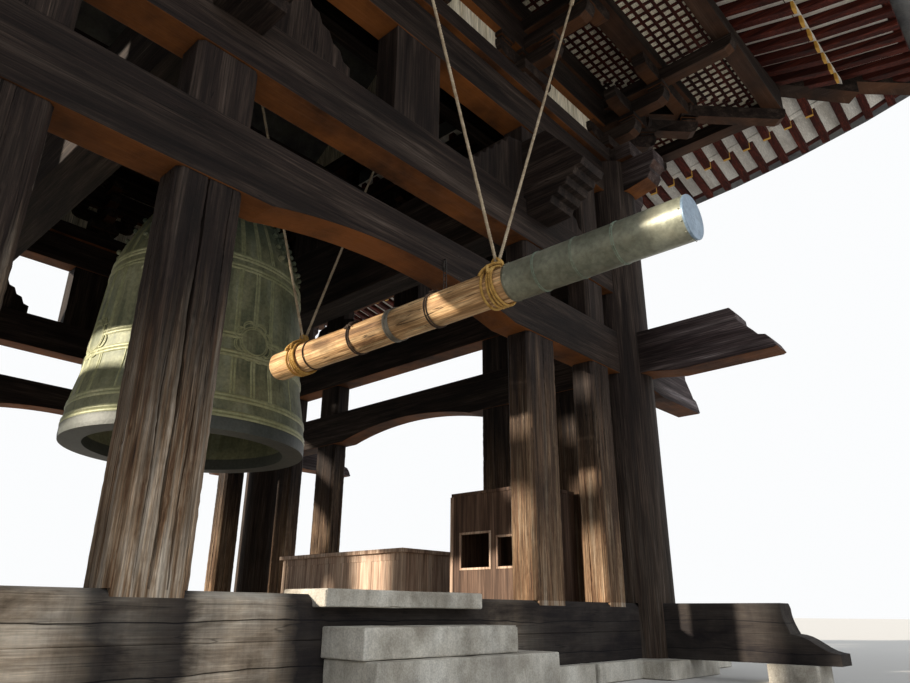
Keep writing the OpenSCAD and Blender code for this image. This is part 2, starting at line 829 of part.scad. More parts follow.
module roof_skirt() {
    m = 4 * skin_m;
    b = (skin_n + 1) * m;
    pts = [for (t = [0, roof_t], u = skin_us, j = [0:m - 1])
        concat(ring_xy(j, u), [roof_top(ring_s(j, u), u) - t])];
    color(tile) polyhedron(pts, concat(
        [for (i = [0:skin_n - 1], j = [0:m - 1]) let (a = i * m + j, c = i * m + (j + 1) % m)
            each [[a, a + m, c + m], [a, c + m, c]]],
        [for (i = [0:skin_n - 1], j = [0:m - 1]) let (a = b + i * m + j, c = b + i * m + (j + 1) % m)
            each [[a, c + m, a + m], [a, c, c + m]]],
        [for (j = [0:m - 1]) let (c = (j + 1) % m) each [[j, c, c + b], [j, c + b, j + b]]],
        [for (j = [0:m - 1]) let (a = skin_n * m + j, c = skin_n * m + (j + 1) % m)
            each [[a, c + b, c], [a, a + b, c + b]]]));
}

// gable roof above the skirt, ridge along x
verge_in = 350;
verge_v = gable_x - verge_in;
gable_t = 80;
gable_in = 20;
function gable_line(v1, drop) = [for (i = [-skin_n:skin_n]) let (v = v1 * i / skin_n)
    [v, roof_profile(abs(v)) - drop]];

// slab along x from x0, length l, between two outlines in y and z
module along_x(x0, l, points) {
    translate([x0, 0, 0]) rotate([90, 0, 90]) linear_extrude(l) polygon(points);
}

module upper_roof() {
    color(tile) {
        along_x(-gable_x, 2 * gable_x, concat(gable_line(gable_x, 0), flip(gable_line(gable_x, roof_t))));
        for (x = [-gable_x - gable_over, gable_x])
            along_x(x, gable_over, concat(gable_line(verge_v, 0), flip(gable_line(verge_v, roof_t))));
    }
}

module gable_walls() {
    color(white) for (x = [-gable_x + gable_in, gable_x - gable_in - gable_t])
        along_x(x, gable_t, gable_line(gable_x, roof_t));
}

bargeboard_h = 240;
module bargeboards() {
    e = gable_x + gable_over - gable_in;
    color(dark) for (x = [-e, e - gable_t])
        along_x(x, gable_t, concat(gable_line(verge_v, roof_t),
            flip(gable_line(verge_v, roof_t + bargeboard_h))));
}

// struts between two rafters, from the timber on the wall up to the roof frame
attic_post_w = 180;
frame_rise = 1110;
frame_z = top_plate_z + frame_rise;
frame_out = 100;
frame_w = 350;
module attic_posts() {
    for (s = [-1, 1], i = [5.5, 9.5])
        translate([s * i * rafter_pitch - attic_post_w / 2, -half_bay - attic_post_w / 2, top_plate_z])
            cube([attic_post_w, attic_post_w, frame_z - seat_clear - top_plate_z]);
}

module roof_frame() {
    z = roof_profile(gable_x) - roof_t;
    v = gable_x + frame_out;
    color(dark) {
        each_side() difference() {
            attic_posts();
            on_base(wall_in - 300, wall_out + 300, -beyond, -seat_clear);
        }
        each_side() intersection() {
            along_x(-eave_e, 2 * eave_e, [[-v, frame_z], [frame_w - v, frame_z], [frame_w - v, z],
                [-gable_x, z], [-v, roof_profile(v) - roof_t - 2]]);
            sector();
        }
    }
}

module roof_ridges() {
    e = gable_x + gable_over;
    v1 = gable_x / skin_n;
    w = ridge_w / 2;
    z0 = roof_profile(0) + seat_clear;
    h = ridge_h - seat_clear;
    zw = z0 + (roof_profile(v1) + seat_clear - z0) * w / v1;
    color(tile) {
        along_x(-e + 40, 2 * e - 80, [[-w, zw], [0, z0], [w, zw], [w, z0 + h], [-w, z0 + h]]);
    }
}

module hip_ridges() {
    w = 120;
    e = eave_e * sqrt(2);
    z = roof_top(eave_e, eave_e);
    color(tile) each_side() rotate(45) rotate([90, 0, 90]) translate([0, 0, -w]) linear_extrude(2 * w)
        polygon(concat([for (u = skin_us) [-u * sqrt(2), roof_top(u, u)]],
            [for (i = [skin_n:-1:1]) [-skin_us[i] * sqrt(2), roof_top(skin_us[i], skin_us[i]) + 300]],
            [[140 - e, z + 260], [-e, z + 120]]));
}

// ridges that run down beside the gables
module verge_ridges() {
    line = gable_line(verge_v, 0);
    half = [for (i = [skin_n + 1:len(line) - 1]) line[i]];
    outline = concat(half, flip([for (p = half) [p[0], p[1] + 260]]));
    color(tile) for (x = [-gable_x - gable_over + 120, gable_x + gable_over - 340], s = [-1, 1])
        along_x(x, 220, [for (q = outline) [s * q[0], q[1]]]);
}

saddle_half = 400;
module bell_saddles() {
    color(dark) for (s = [-1, 1]) translate([s * girder_x - girder_w / 2, -saddle_half, girder_top])
        cube([girder_w, 2 * saddle_half, beam_z - girder_top]);
}

beam_w = 560;
beam_h = 680;
beam_half = 2450;
module bell_beam() {
    color(dark) translate([-beam_half, -beam_w / 2, beam_z]) cube([2 * beam_half, beam_w, beam_h]);
}

strap_t = 50;
strap_w = 160;
module bell_hanger() {
    y = beam_w / 2;
    color("#3c3a38") translate([hang_x, 0, 0]) {
        for (s = [-1, 1]) translate([-strap_w / 2, s * (y + strap_t / 2) - strap_t / 2, pin_z - 120])
            cube([strap_w, strap_t, beam_z + beam_h - pin_z + 120]);
        translate([-strap_w / 2, -y - strap_t, beam_z + beam_h])
            cube([strap_w, beam_w + 2 * strap_t, strap_t]);
        translate([0, y, pin_z]) rotate([90, 0, 0]) cylinder(r = bell_pin_r, h = beam_w, $fn = 48);
    }
}

// half section of the bell, from the mouth to the crown
function bell_outer() = [[bell_r, 0], [bell_r + 8, 60], [bell_r - 20, 360], [bell_r - 45, 420],
    [bell_r - 50, 520], [bell_r - 92, 720], [bell_r - 136, 1220], [bell_r - 176, 1740], [bell_r - 220, 2160],
    [bell_r - 285, 2360], [bell_r - 345, 2510], [bell_r - 415, 2680], [bell_r - 495, 2850],
    [bell_r - 600, 2990], [bell_r - 800, bell_h - 30], [bell_r - 1050, bell_h]];

module bell() {
    o = bell_outer();
    color("#6d8072") translate([hang_x, 0, bell_z]) {
        rotate_extrude($fn = 96)
            polygon(concat([[0, bell_h]], [for (i = [len(o) - 1:-1:0]) o[i]],
                [[bell_r - bell_lip, 0], [bell_r - bell_lip + 30, 200], [bell_r - 60 - bell_wall, 700],
                    [bell_r - 176 - bell_wall, 1740], [bell_r - 285 - bell_wall, 2300],
                    [bell_r - 430 - bell_wall, 2600], [bell_r - 700 - bell_wall, bell_h - bell_wall - 30],
                    [0, bell_h - bell_wall]]));
        // loop with the eye for the pin
        difference() {
            translate([-430, -150, bell_h - 12]) cube([860, 300, loop_h + 12]);
            translate([0, 151, pin_z - bell_z]) rotate([90, 0, 0])
                cylinder(r = bell_pin_r + seat_clear, h = 302, $fn = 48);
        }
    }
}

// timbers that fill the gaps between the bracket arms over the front ropes
module rope_tie() {
    x0 = arm_half;
    x1 = inner_post_x - arm_half;
    color(dark) for (x = [-x1, x0])
        translate([x, near_rope_y - arm_w / 2, arms_top - arm_h]) cube([x1 - x0, arm_w, arm_h]);
}

rope_beam_w = 240;
rope_beam_h = 260;
module rope_beam() {
    color(dark) translate([-wall_in, far_rope_y - rope_beam_w / 2, arms_top - arm_h])
        cube([2 * wall_in, rope_beam_w, rope_beam_h]);
}

// iron eye plates with a pin for each rope's upper end
module rope_brackets() {
    color("#3c3a38") for (p = [[near_rope_y, near_spread], [far_rope_y, far_spread]], s = [-1, 1])
        translate([hang_x + s * p[1], p[0], 0]) {
            for (k = [-1, 1]) translate([k * (30 + side_clear + 6) - 6, -30, rope_top_z - 30])
                cube([12, 60, rope_pin_drop + 30]);
            translate([-30 - side_clear, 0, rope_top_z]) rotate([0, 90, 0])
                cylinder(r = rope_pin_r, h = 60 + 2 * side_clear, $fn = 32);
        }
}

module rope_pair(y, spread) {
    difference() {
        union() {
            for (s = [-1, 1]) {
                dx = spread - 14;
                a = atan2(dx, rope_len);
                translate([hang_x + s * 14, y, near_pin_z]) rotate([0, s * a, 0])
                    translate([0, 0, 8])
                        cylinder(r = rope_r, h = sqrt(dx * dx + rope_len * rope_len) - 16, $fn = 24);
                translate([hang_x + s * spread - 30, y, rope_top_z]) rotate([0, 90, 0])
                    cylinder(r = rope_pin_r + pin_clear + 16, h = 60, $fn = 32);
            }
            translate([hang_x - 40, y, near_pin_z]) rotate([0, 90, 0])
                cylinder(r = rope_pin_r + pin_clear + 16, h = 80, $fn = 32);
        }
        translate([hang_x - 60, y, near_pin_z]) rotate([0, 90, 0])
            cylinder(r = rope_pin_r + pin_clear, h = 120, $fn = 32);
        for (s = [-1, 1]) translate([hang_x + s * spread - 50, y, rope_top_z]) rotate([0, 90, 0])
            cylinder(r = rope_pin_r + pin_clear, h = 100, $fn = 32);
    }
}

module near_ropes() {
    color("#c9ab7c") rope_pair(near_rope_y, near_spread);
}

module far_ropes() {
    color("#c9ab7c") rope_pair(far_rope_y, far_spread);
}

module striker() {
    color("#b98a5b") translate([hang_x, 0, striker_z]) {
        translate([0, striker_back, 0]) rotate([90, 0, 0])
            cylinder(r = striker_r, h = striker_back - striker_front, $fn = 64);
        for (y = [near_rope_y, far_rope_y]) {
            // rope lashing round the log, with the cheeks of the eye on top
            translate([0, y + 60, 0]) rotate([90, 0, 0]) cylinder(r = striker_r + 22, h = 120, $fn = 64);
            for (k = [-1, 1]) translate([k * (40 + side_clear + 7) - 7, y - 28, striker_r])
                cube([14, 56, rope_pin_rise + 28]);
            translate([-40 - side_clear, y, near_pin_z - striker_z]) rotate([0, 90, 0])
                cylinder(r = rope_pin_r, h = 80 + 2 * side_clear, $fn = 32);
        }
    }
}

module striker_sheath() {
    r = striker_r + seat_clear;
    l = sheath_back - striker_front;
    color("#7d8f80") translate([hang_x, sheath_back, striker_z]) rotate([90, 0, 0]) difference() {
        cylinder(r = r + sheath_t, h = l + 6, $fn = 64);
        translate([0, 0, -1]) cylinder(r = r, h = l + 1 + seat_clear, $fn = 64);
    }
}

// long chest with panelled sides and a lid, seen under the bell
counter_x = half_bay - 1200;
counter_d = 900;
counter_y = [-1230, 1290];
counter_h = 640;
lid_t = 50;
lid_over = 45;
panels = 4;

module counter() {
    l = counter_y[1] - counter_y[0];
    w = l / panels;
    color("#8a6242") translate([counter_x, counter_y[0], floor_z]) {
        difference() {
            cube([counter_d, l, counter_h]);
            for (i = [0:panels - 1], x = [-1, counter_d - 14])
                translate([x, i * w + 55, 90]) cube([15, w - 110, counter_h - 180]);
            for (y = [-1, l - 14]) translate([70, y, 90]) cube([counter_d - 140, 15, counter_h - 180]);
        }
        translate([-lid_over, -lid_over, counter_h])
            cube([counter_d + 2 * lid_over, l + 2 * lid_over, lid_t]);
    }
}

// booth of vertical boards with two small windows in the side to the bell
booth_x = half_bay - 1000;
booth_d = 800;
booth_gap = 680;
booth_l = 1220;
booth_y = [booth_gap - half_bay, booth_gap - half_bay + booth_l];
booth_h = 1270;
booth_t = 40;
window_z = 430;
windows = [[90, 320], [650, 380]];
window_w = 430;

module booth() {
    l = booth_y[1] - booth_y[0];
    t = booth_t;
    color("#7a563b") {
        translate([booth_x, booth_y[0], floor_z]) difference() {
            cube([booth_d, l, booth_h]);
            translate([t, t, -1]) cube([booth_d - 2 * t, l - 2 * t, booth_h + 2]);
            for (w = windows) translate([-1, w[0], window_z]) cube([t + 2, window_w, w[1]]);
        }
        translate([booth_x - 20, booth_y[0] - 20, floor_z + booth_h]) cube([booth_d + 20, l + 40, t]);
    }
}

ground_floor();
footing_stones();
stone_steps();
corner_columns();
base_timbers();
sill_beams();
lower_ties();
upper_ties();
lower_posts();
middle_posts();
upper_posts();
centre_struts();
wing_corbels();
bell_girders();
head_beams();
wall_plates();
middle_brackets();
corner_brackets();
lower_wall_boards();
wall_ties();
upper_wall_boards();
lattice_ceilings();
step_purlins();
outer_purlins();
wall_top_beams();
base_rafters();
flying_rafters();
hip_rafters();
eave_boards();
eave_battens();
eave_fascia();
roof_frame();
roof_skirt();
upper_roof();
gable_walls();
bargeboards();
roof_ridges();
hip_ridges();
verge_ridges();
bell_saddles();
bell_beam();
bell_hanger();
bell();
rope_tie();
rope_beam();
rope_brackets();
near_ropes();
far_ropes();
striker();
striker_sheath();
counter();
booth();
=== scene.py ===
import bpy
import math
import numpy as np
from mathutils import Matrix, Vector


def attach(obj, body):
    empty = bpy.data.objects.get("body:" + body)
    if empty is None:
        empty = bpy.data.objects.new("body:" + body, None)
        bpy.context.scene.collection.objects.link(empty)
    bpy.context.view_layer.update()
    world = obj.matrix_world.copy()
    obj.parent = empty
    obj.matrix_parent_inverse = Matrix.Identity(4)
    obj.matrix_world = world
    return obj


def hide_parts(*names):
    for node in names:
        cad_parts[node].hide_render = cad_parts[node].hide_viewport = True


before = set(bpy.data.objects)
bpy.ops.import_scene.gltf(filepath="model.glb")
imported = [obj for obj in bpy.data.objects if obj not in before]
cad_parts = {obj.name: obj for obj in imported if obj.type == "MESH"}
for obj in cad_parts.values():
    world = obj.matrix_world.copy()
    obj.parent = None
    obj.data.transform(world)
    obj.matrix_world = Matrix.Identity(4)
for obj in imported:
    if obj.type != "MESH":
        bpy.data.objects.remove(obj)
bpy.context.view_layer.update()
print("frame loaded,", len(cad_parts), "parts")

# camera, turned by heading from +Y towards +X, then tilted up and rolled
camera = dict(place=(-3.732, -7.799, 0.60), heading=47.934, tilt=21.174, roll=0.392, lens=27.676)
head, tilt, roll = (math.radians(camera[k]) for k in ("heading", "tilt", "roll"))
forward = Vector((math.sin(head) * math.cos(tilt), math.cos(head) * math.cos(tilt), math.sin(tilt)))
right = Vector((math.cos(head), -math.sin(head), 0))
above = right.cross(forward)
camRight = right * math.cos(roll) + above * math.sin(roll)
camUp = above * math.cos(roll) - right * math.sin(roll)
camData = bpy.data.cameras.new("photoCamera")
camObject = bpy.data.objects.new("photoCamera", camData)
bpy.context.scene.collection.objects.link(camObject)
camObject.matrix_world = Matrix((camRight, camUp, -forward)).transposed().to_4x4()
camObject.location = camera["place"]
camData.sensor_width = 36
camData.lens = camera["lens"]
camData.clip_start, camData.clip_end = 0.05, 300
bpy.context.scene.camera = camObject


# node helpers: a plain value is set on the socket, a socket is linked to it
def add(tree, kind, inputs={}, **settings):
    made = tree.nodes.new("ShaderNode" + kind)
    for key, value in settings.items():
        setattr(made, key, value)
    for key, value in inputs.items():
        if isinstance(value, bpy.types.NodeSocket):
            tree.links.new(value, made.inputs[key])
        else:
            made.inputs[key].default_value = value
    return made


# a colour is three numbers, a grey is one
def rgba(colour):
    return (*colour, 1) if isinstance(colour, tuple) else (colour, colour, colour, 1)


def ramp(tree, source, stops):
    made = add(tree, "ValToRGB", {0: source})
    bar = made.color_ramp
    while len(bar.elements) < len(stops):
        bar.elements.new(0.5)
    for stop, (place, colour) in zip(bar.elements, stops):
        stop.position = place
        stop.color = rgba(colour)
    return made.outputs[0]


def mixColour(tree, amount, first, second, mode="MIX"):
    first, second = [c if isinstance(c, bpy.types.NodeSocket) else rgba(c) for c in (first, second)]
    return add(tree, "Mix", {0: amount, 6: first, 7: second}, data_type="RGBA", blend_type=mode).outputs[2]


# a colour made darker or lighter by a ramp over a pattern
def shade(tree, amount, colour, pattern, stops):
    return mixColour(tree, amount, colour, ramp(tree, pattern, stops), "MULTIPLY")


def noise(tree, vector, scale, detail=4.0, rough=0.55, bend=0.0):
    return add(tree, "TexNoise", {"Vector": vector, "Scale": scale, "Detail": detail, "Roughness": rough,
                                  "Distortion": bend}).outputs[0]


def calc(tree, what, *values):
    return add(tree, "Math", dict(enumerate(values)), operation=what).outputs[0]


# runs from start at the low value to end at the high one
def fade(tree, value, low, high, start, end):
    return add(tree, "MapRange", {0: value, 1: low, 2: high, 3: start, 4: end}).outputs[0]


def stretched(tree, place, scale):
    return add(tree, "Mapping", {"Vector": place, "Scale": scale}).outputs[0]


def axis(tree, vector, number):
    return add(tree, "SeparateXYZ", {0: vector}).outputs[number]


# distance from the middle along X and along Y
def awayXY(tree, place):
    return [calc(tree, "ABSOLUTE", axis(tree, place, number)) for number in (0, 1)]


# grain runs along an axis, along the walls' beams, or outwards from the middle
def grain(tree, place, run, along, across):
    ways = {"x": (along, across, across), "y": (across, along, across), "z": (across, across, along)}
    if run in ways:
        return stretched(tree, place, ways[run])
    awayX, awayY = awayXY(tree, place)
    if run == "walls":
        offLine = calc(tree, "ABSOLUTE", calc(tree, "SUBTRACT", awayY, 3.8))
        alongX = calc(tree, "LESS_THAN", offLine, 0.3)
    elif run == "ring":
        alongX = calc(tree, "GREATER_THAN", awayY, awayX)
    else:
        alongX = calc(tree, "GREATER_THAN", awayX, awayY)
    return add(tree, "Mix", {0: alongX, 4: stretched(tree, place, ways["y"]),
                             5: stretched(tree, place, ways["x"])}, data_type="VECTOR").outputs[1]


def startMaterial(name, roughness, metallic=0.0):
    material = bpy.data.materials.new(name)
    material.use_nodes = True
    tree = material.node_tree
    surface = tree.nodes["Principled BSDF"]
    surface.inputs["Roughness"].default_value = roughness
    surface.inputs["Metallic"].default_value = metallic
    return material, tree, surface


def finishMaterial(tree, surface, colour, relief, strength):
    tree.links.new(colour, surface.inputs["Base Color"])
    bump = add(tree, "Bump", {"Height": relief, "Strength": strength, "Distance": 0.01})
    tree.links.new(bump.outputs[0], surface.inputs["Normal"])


def woodMaterial(name, run, tones, along=0.5, across=9.0, stain=0.55, crack=0.8, bump=0.5, roughness=0.75,
                 shine=0.16, fine=0.8, blotchScale=(0.55, 1.3), drips=0.0, seams=(), bleach=None, ends=None,
                 paintedSkyLight=None, topLightAndStains=None, under=None):
    material, tree, surface = startMaterial(name, roughness)
    surface.inputs["Specular IOR Level"].default_value = shine
    place = add(tree, "TexCoord").outputs["Object"]

    def streaks(lengthwise, crosswise, *look):
        return noise(tree, grain(tree, place, run, lengthwise, crosswise), 1.0, *look)

    broad = streaks(along, across, 7, 0.66, 0.4)
    colour = ramp(tree, broad, list(zip((0.33, 0.47, 0.58, 0.72), tones)))
    if bleach:  # silver and orange streaks low down, dark and sheltered higher up
        ragged = calc(tree, "MULTIPLY", streaks(0.45, 13, 5, 0.6), bleach["ragged"])
        level = calc(tree, "ADD", axis(tree, place, 2), ragged)
        spread = fade(tree, level, bleach["low"], bleach["high"], bleach["amount"], 0.0)
        silvered = ramp(tree, streaks(0.9, 19, 7, 0.68, 0.3), bleach["stops"])
        colour = mixColour(tree, spread, colour, silvered)
    blotch = streaks(*blotchScale, 6, 0.62, 0.4)
    colour = shade(tree, stain, colour, blotch, [(0.36, 0.25), (0.47, 0.75), (0.6, 1.25)])
    fibres = streaks(2.2, 95, 4, 0.6)
    colour = shade(tree, fine, colour, fibres, [(0.36, 0.4), (0.5, 0.9), (0.62, 1.6), (0.7, 2.3)])
    if drips:  # rain has run down the face
        wash = noise(tree, stretched(tree, place, (5.5, 5.5, 0.7)), 1.0, 6, 0.7, 0.2)
        colour = shade(tree, drips, colour, wash,
                       [(0.36, (0.18, 0.16, 0.15)), (0.47, 0.75), (0.62, (1.35, 1.28, 1.18))])
    lines = streaks(0.45, 15, 2, 0.5, 0.1)  # fine cracks, in some places only
    gap = ramp(tree, lines, [(0.491, 1), (0.4985, 1 - crack), (0.5015, 1 - crack), (0.509, 1)])
    gap = mixColour(tree, ramp(tree, streaks(0.5, 2.5, 2), [(0.46, 0), (0.56, 1)]), 1, gap)
    for high in seams:  # long shakes that follow the beam
        sway = calc(tree, "MULTIPLY", noise(tree, stretched(tree, place, (0.7, 0.7, 0.2)), 1.0, 4), 0.12)
        off = calc(tree, "SUBTRACT", calc(tree, "ADD", axis(tree, place, 2), sway), high)
        near = calc(tree, "MULTIPLY", calc(tree, "ABSOLUTE", off), 20)
        gap = shade(tree, 1.0, gap, near, [(0.03, 0.12), (0.10, 1)])
    colour = mixColour(tree, 1.0, colour, gap, "MULTIPLY")
    if ends:  # painted end grain beyond a distance from the middle
        painted = calc(tree, "GREATER_THAN", calc(tree, "MAXIMUM", *awayXY(tree, place)), ends["beyond"])
        colour = mixColour(tree, painted, colour, mixColour(tree, broad, ends["dark"], ends["light"]))
    if paintedSkyLight:  # painted sky light: the noses out beyond the eaves' shade are made paler and bluer than the middle
        far = calc(tree, "MAXIMUM", *awayXY(tree, place))
        paintedPale = mixColour(tree, 1.0, colour, paintedSkyLight["tint"], "MULTIPLY")
        colour = mixColour(tree, fade(tree, far, paintedSkyLight["near"], paintedSkyLight["far"], 0.0, 1.0), colour, paintedPale)
    if topLightAndStains:  # upper edge lighter, painted light from above with some rubbed wear; dark stains along the face, which at the right end also paint in shade
        ragged = calc(tree, "MULTIPLY", calc(tree, "SUBTRACT", broad, 0.5), 0.12)
        ragged = calc(tree, "ADD", axis(tree, place, 2), ragged)
        paintedPale = fade(tree, ragged, topLightAndStains["low"], topLightAndStains["high"], 0.0, 0.55)
        colour = mixColour(tree, paintedPale, colour, topLightAndStains["colour"])
        sway = calc(tree, "MULTIPLY", calc(tree, "ADD", blotch, broad), 0.03)
        share = calc(tree, "MULTIPLY", axis(tree, place, 0), 0.5 / topLightAndStains["reach"])
        share = calc(tree, "ADD", calc(tree, "ADD", share, sway), 0.5)
        dampAndShade = ramp(tree, share, [(0.53 + 0.5 * x / topLightAndStains["reach"], dark) for x, dark in topLightAndStains["stainsAndShade"]])
        colour = mixColour(tree, dampAndShade, colour, topLightAndStains["dampAndShade"])
    if under:  # painted bounce light: faces that look down are tinted orange, as if lit by warm light bounced off the ground
        facing = axis(tree, add(tree, "NewGeometry").outputs["Normal"], 2)
        glow = mixColour(tree, fibres, under["colour"], tuple(c * 1.6 for c in under["colour"]))
        cloud = noise(tree, place, 1.1, 5, 0.6)
        glow = shade(tree, 0.9, glow, cloud, [(0.36, 0.12), (0.5, 0.7), (0.64, 1.25)])
        colour = mixColour(tree, fade(tree, facing, -0.5, -0.95, 0.0, under["amount"]), colour, glow)
    relief = calc(tree, "ADD", calc(tree, "MULTIPLY", fibres, 0.6), calc(tree, "MULTIPLY", gap, 0.8))
    finishMaterial(tree, surface, colour, relief, bump)
    return material


def plainMaterial(name, tones, scale, roughness, bump=0.3, fine=8.0, metallic=0.0, spots=None, drips=0.0):
    material, tree, surface = startMaterial(name, roughness, metallic)
    place = add(tree, "TexCoord").outputs["Object"]
    broad = noise(tree, place, scale, 6, 0.6, 0.2)
    grains = noise(tree, place, scale * fine, 4, 0.65)
    colour = ramp(tree, broad, list(zip((0.32, 0.5, 0.68), tones)))
    colour = shade(tree, 0.6, colour, grains, [(0.35, 0.6), (0.6, 1.1)])
    if spots:
        amount = ramp(tree, noise(tree, place, spots["scale"], 5, 0.65), [(0.48, 0), (0.68, spots["amount"])])
        colour = mixColour(tree, amount, colour, spots["colour"])
    if drips:
        wash = noise(tree, stretched(tree, place, (7, 7, 0.9)), 1.0, 6, 0.7, 0.2)
        colour = shade(tree, drips, colour, wash, [(0.38, 0.35), (0.5, 0.85), (0.62, 1.15)])
    finishMaterial(tree, surface, colour, calc(tree, "ADD", broad, grains), bump)
    return material


# patina: olive and yellow-green above, blue-grey on the lip, runs of pale verdigris
def bronzeMaterial():
    material, tree, surface = startMaterial("bronze", 0.55, 0.15)
    place = add(tree, "TexCoord").outputs["Object"]
    up = axis(tree, place, 2)
    cloud = noise(tree, place, 1.5, 6, 0.62, 0.3)
    colour = ramp(tree, cloud, [(0.30, (0.060, 0.078, 0.050)), (0.43, (0.155, 0.170, 0.100)),
                                (0.55, (0.265, 0.270, 0.155)), (0.70, (0.40, 0.395, 0.25))])
    runs = noise(tree, stretched(tree, place, (7, 7, 0.9)), 1.0, 5, 0.6)
    ragged = calc(tree, "ADD", up, calc(tree, "MULTIPLY", cloud, 0.16))
    for amount, tone in ((ramp(tree, runs, [(0.50, 0), (0.66, 0.55)]), (0.34, 0.37, 0.275)),
                         (ramp(tree, runs, [(0.34, 0.55), (0.46, 0)]), (0.060, 0.075, 0.050)),
                         (fade(tree, ragged, 2.75, 3.45, 0.42, 0.0), (0.095, 0.100, 0.052)),
                         (fade(tree, up, 2.476, 2.484, 0.85, 0.0), (0.032, 0.038, 0.040)),
                         (fade(tree, ragged, 4.72, 5.05, 0.0, 0.65), (0.09, 0.135, 0.105))):
        colour = mixColour(tree, amount, colour, tone)
    fine = noise(tree, place, 26, 4, 0.65)
    colour = shade(tree, 0.6, colour, fine, [(0.35, 0.65), (0.62, 1.2)])
    finishMaterial(tree, surface, colour, fine, 0.25)
    return material


# timbers have four tones, from the darkest streaks to the palest, and other finishes three
darkTones = ((0.007, 0.0039, 0.0031), (0.0155, 0.0098, 0.0078), (0.030, 0.0205, 0.0160),
             (0.062, 0.046, 0.037))
silver = [(0.31, (0.030, 0.017, 0.011)), (0.40, (0.135, 0.072, 0.036)), (0.49, (0.240, 0.168, 0.108)),
          (0.63, (0.40, 0.335, 0.265))]
orangeStreaksAndSun = [(0.32, (0.035, 0.019, 0.012)), (0.45, (0.13, 0.070, 0.036)), (0.56, (0.24, 0.155, 0.090)),
         (0.68, (0.36, 0.28, 0.20))]
# the under settings paint orange bounce light on the faces that look down
darkBeam = woodMaterial("darkBeam", "walls", darkTones, crack=0.7,
                        under=dict(colour=(0.170, 0.057, 0.012), amount=0.72),
                        # the last setting paints paler, bluer sky light on the noses beyond 4 m
                        paintedSkyLight=dict(near=4.0, far=4.9, tint=(3.6, 4.2, 5.4)))
darkOut = woodMaterial("darkOut", "out", darkTones, across=11, crack=0.6,
                       under=dict(colour=(0.085, 0.032, 0.011), amount=0.55))
darkRing = woodMaterial("darkRing", "ring", darkTones, across=10, crack=0.6,
                        under=dict(colour=(0.060, 0.024, 0.010), amount=0.5))
darkUp = woodMaterial("darkUp", "z", darkTones, crack=0.85,
                      bleach=dict(low=0.4, high=3.6, ragged=1.6, amount=0.16, stops=silver))
darkX = woodMaterial("darkX", "x", darkTones)
darkY = woodMaterial("darkY", "y", darkTones)
postLook = dict(across=12, crack=0.9, bump=0.8, stain=0.6, fine=0.7, blotchScale=(0.9, 3.2))
postWood = woodMaterial("postWood", "z", darkTones, **postLook,
                        bleach=dict(low=1.7, high=3.5, ragged=2.0, amount=1.0, stops=silver))
# on these posts the pale orange streaks are partly weathering and partly painted sunlit patches
innerPostWood = woodMaterial("innerPostWood", "z", darkTones, **postLook,
                             bleach=dict(low=1.5, high=4.2, ragged=2.4, amount=1.0, stops=orangeStreaksAndSun))
# stains and painted shade go along the front sill, dark at the right end: place from the middle, and how dark
sillTopLightAndStains = dict(low=0.668, high=0.70, colour=(0.42, 0.39, 0.34), dampAndShade=(0.0145, 0.0135, 0.0155), reach=5.4,
                stainsAndShade=[(-5.4, 0.4), (-3.4, 0.25), (-2.32, 0.0), (-2.12, 0.93), (-1.9, 0.74), (-1.66, 0.93),
                        (-1.52, 0.08), (-1.1, 0.0), (-0.92, 0.94), (0.9, 0.9), (1.25, 0.7), (1.7, 0.92),
                        (3.0, 0.95), (5.4, 0.90)])
sillWood = woodMaterial("sillWood", "walls",
                        ((0.13, 0.095, 0.066), (0.38, 0.30, 0.222), (0.57, 0.478, 0.375), (0.71, 0.63, 0.53)),
                        along=1.2, across=4.5, stain=0.6, crack=0.5, seams=(0.60, 0.335), drips=0.35,
                        blotchScale=(1.1, 2.0), fine=0.3, shine=0.04, topLightAndStains=sillTopLightAndStains)
redTones = ((0.017, 0.004, 0.003), (0.046, 0.0085, 0.0055), (0.078, 0.0145, 0.0085), (0.120, 0.028, 0.015))
redLook = dict(across=12, stain=0.6, crack=0.4, bump=0.3)
vermilion = woodMaterial("vermilion", "out", redTones, **redLook,
                         ends=dict(beyond=6.466, dark=(0.40, 0.20, 0.030), light=(0.75, 0.46, 0.10)))
vermilionFly = woodMaterial("vermilionFly", "out", redTones, **redLook)
vermilionRing = woodMaterial("vermilionRing", "ring",
                             ((0.015, 0.004, 0.003), (0.040, 0.008, 0.0055), (0.066, 0.014, 0.0085),
                              (0.100, 0.026, 0.014)), **redLook)
chalkBoards = woodMaterial("chalkBoards", "out",
                           ((0.50, 0.47, 0.42), (0.66, 0.63, 0.58), (0.74, 0.72, 0.67), (0.80, 0.78, 0.74)),
                           across=5, stain=0.2, crack=0.2, bump=0.15, roughness=0.85, fine=0.25)
chalkWall = woodMaterial("chalkWall", "z",
                         ((0.42, 0.37, 0.27), (0.60, 0.55, 0.43), (0.70, 0.65, 0.53), (0.77, 0.72, 0.60)),
                         across=6, stain=0.3, crack=0.35, bump=0.2, roughness=0.85)
plankLook = dict(across=14, stain=0.45, crack=0.4, bump=0.35, roughness=0.6, fine=0.5)
boardWood = woodMaterial("boardWood", "z",
                         ((0.19, 0.115, 0.078), (0.37, 0.25, 0.178), (0.50, 0.37, 0.275), (0.58, 0.46, 0.36)),
                         **plankLook)
boothWood = woodMaterial("boothWood", "z",
                         ((0.03, 0.016, 0.01), (0.072, 0.039, 0.024), (0.11, 0.064, 0.042),
                          (0.155, 0.1, 0.07)), **plankLook)
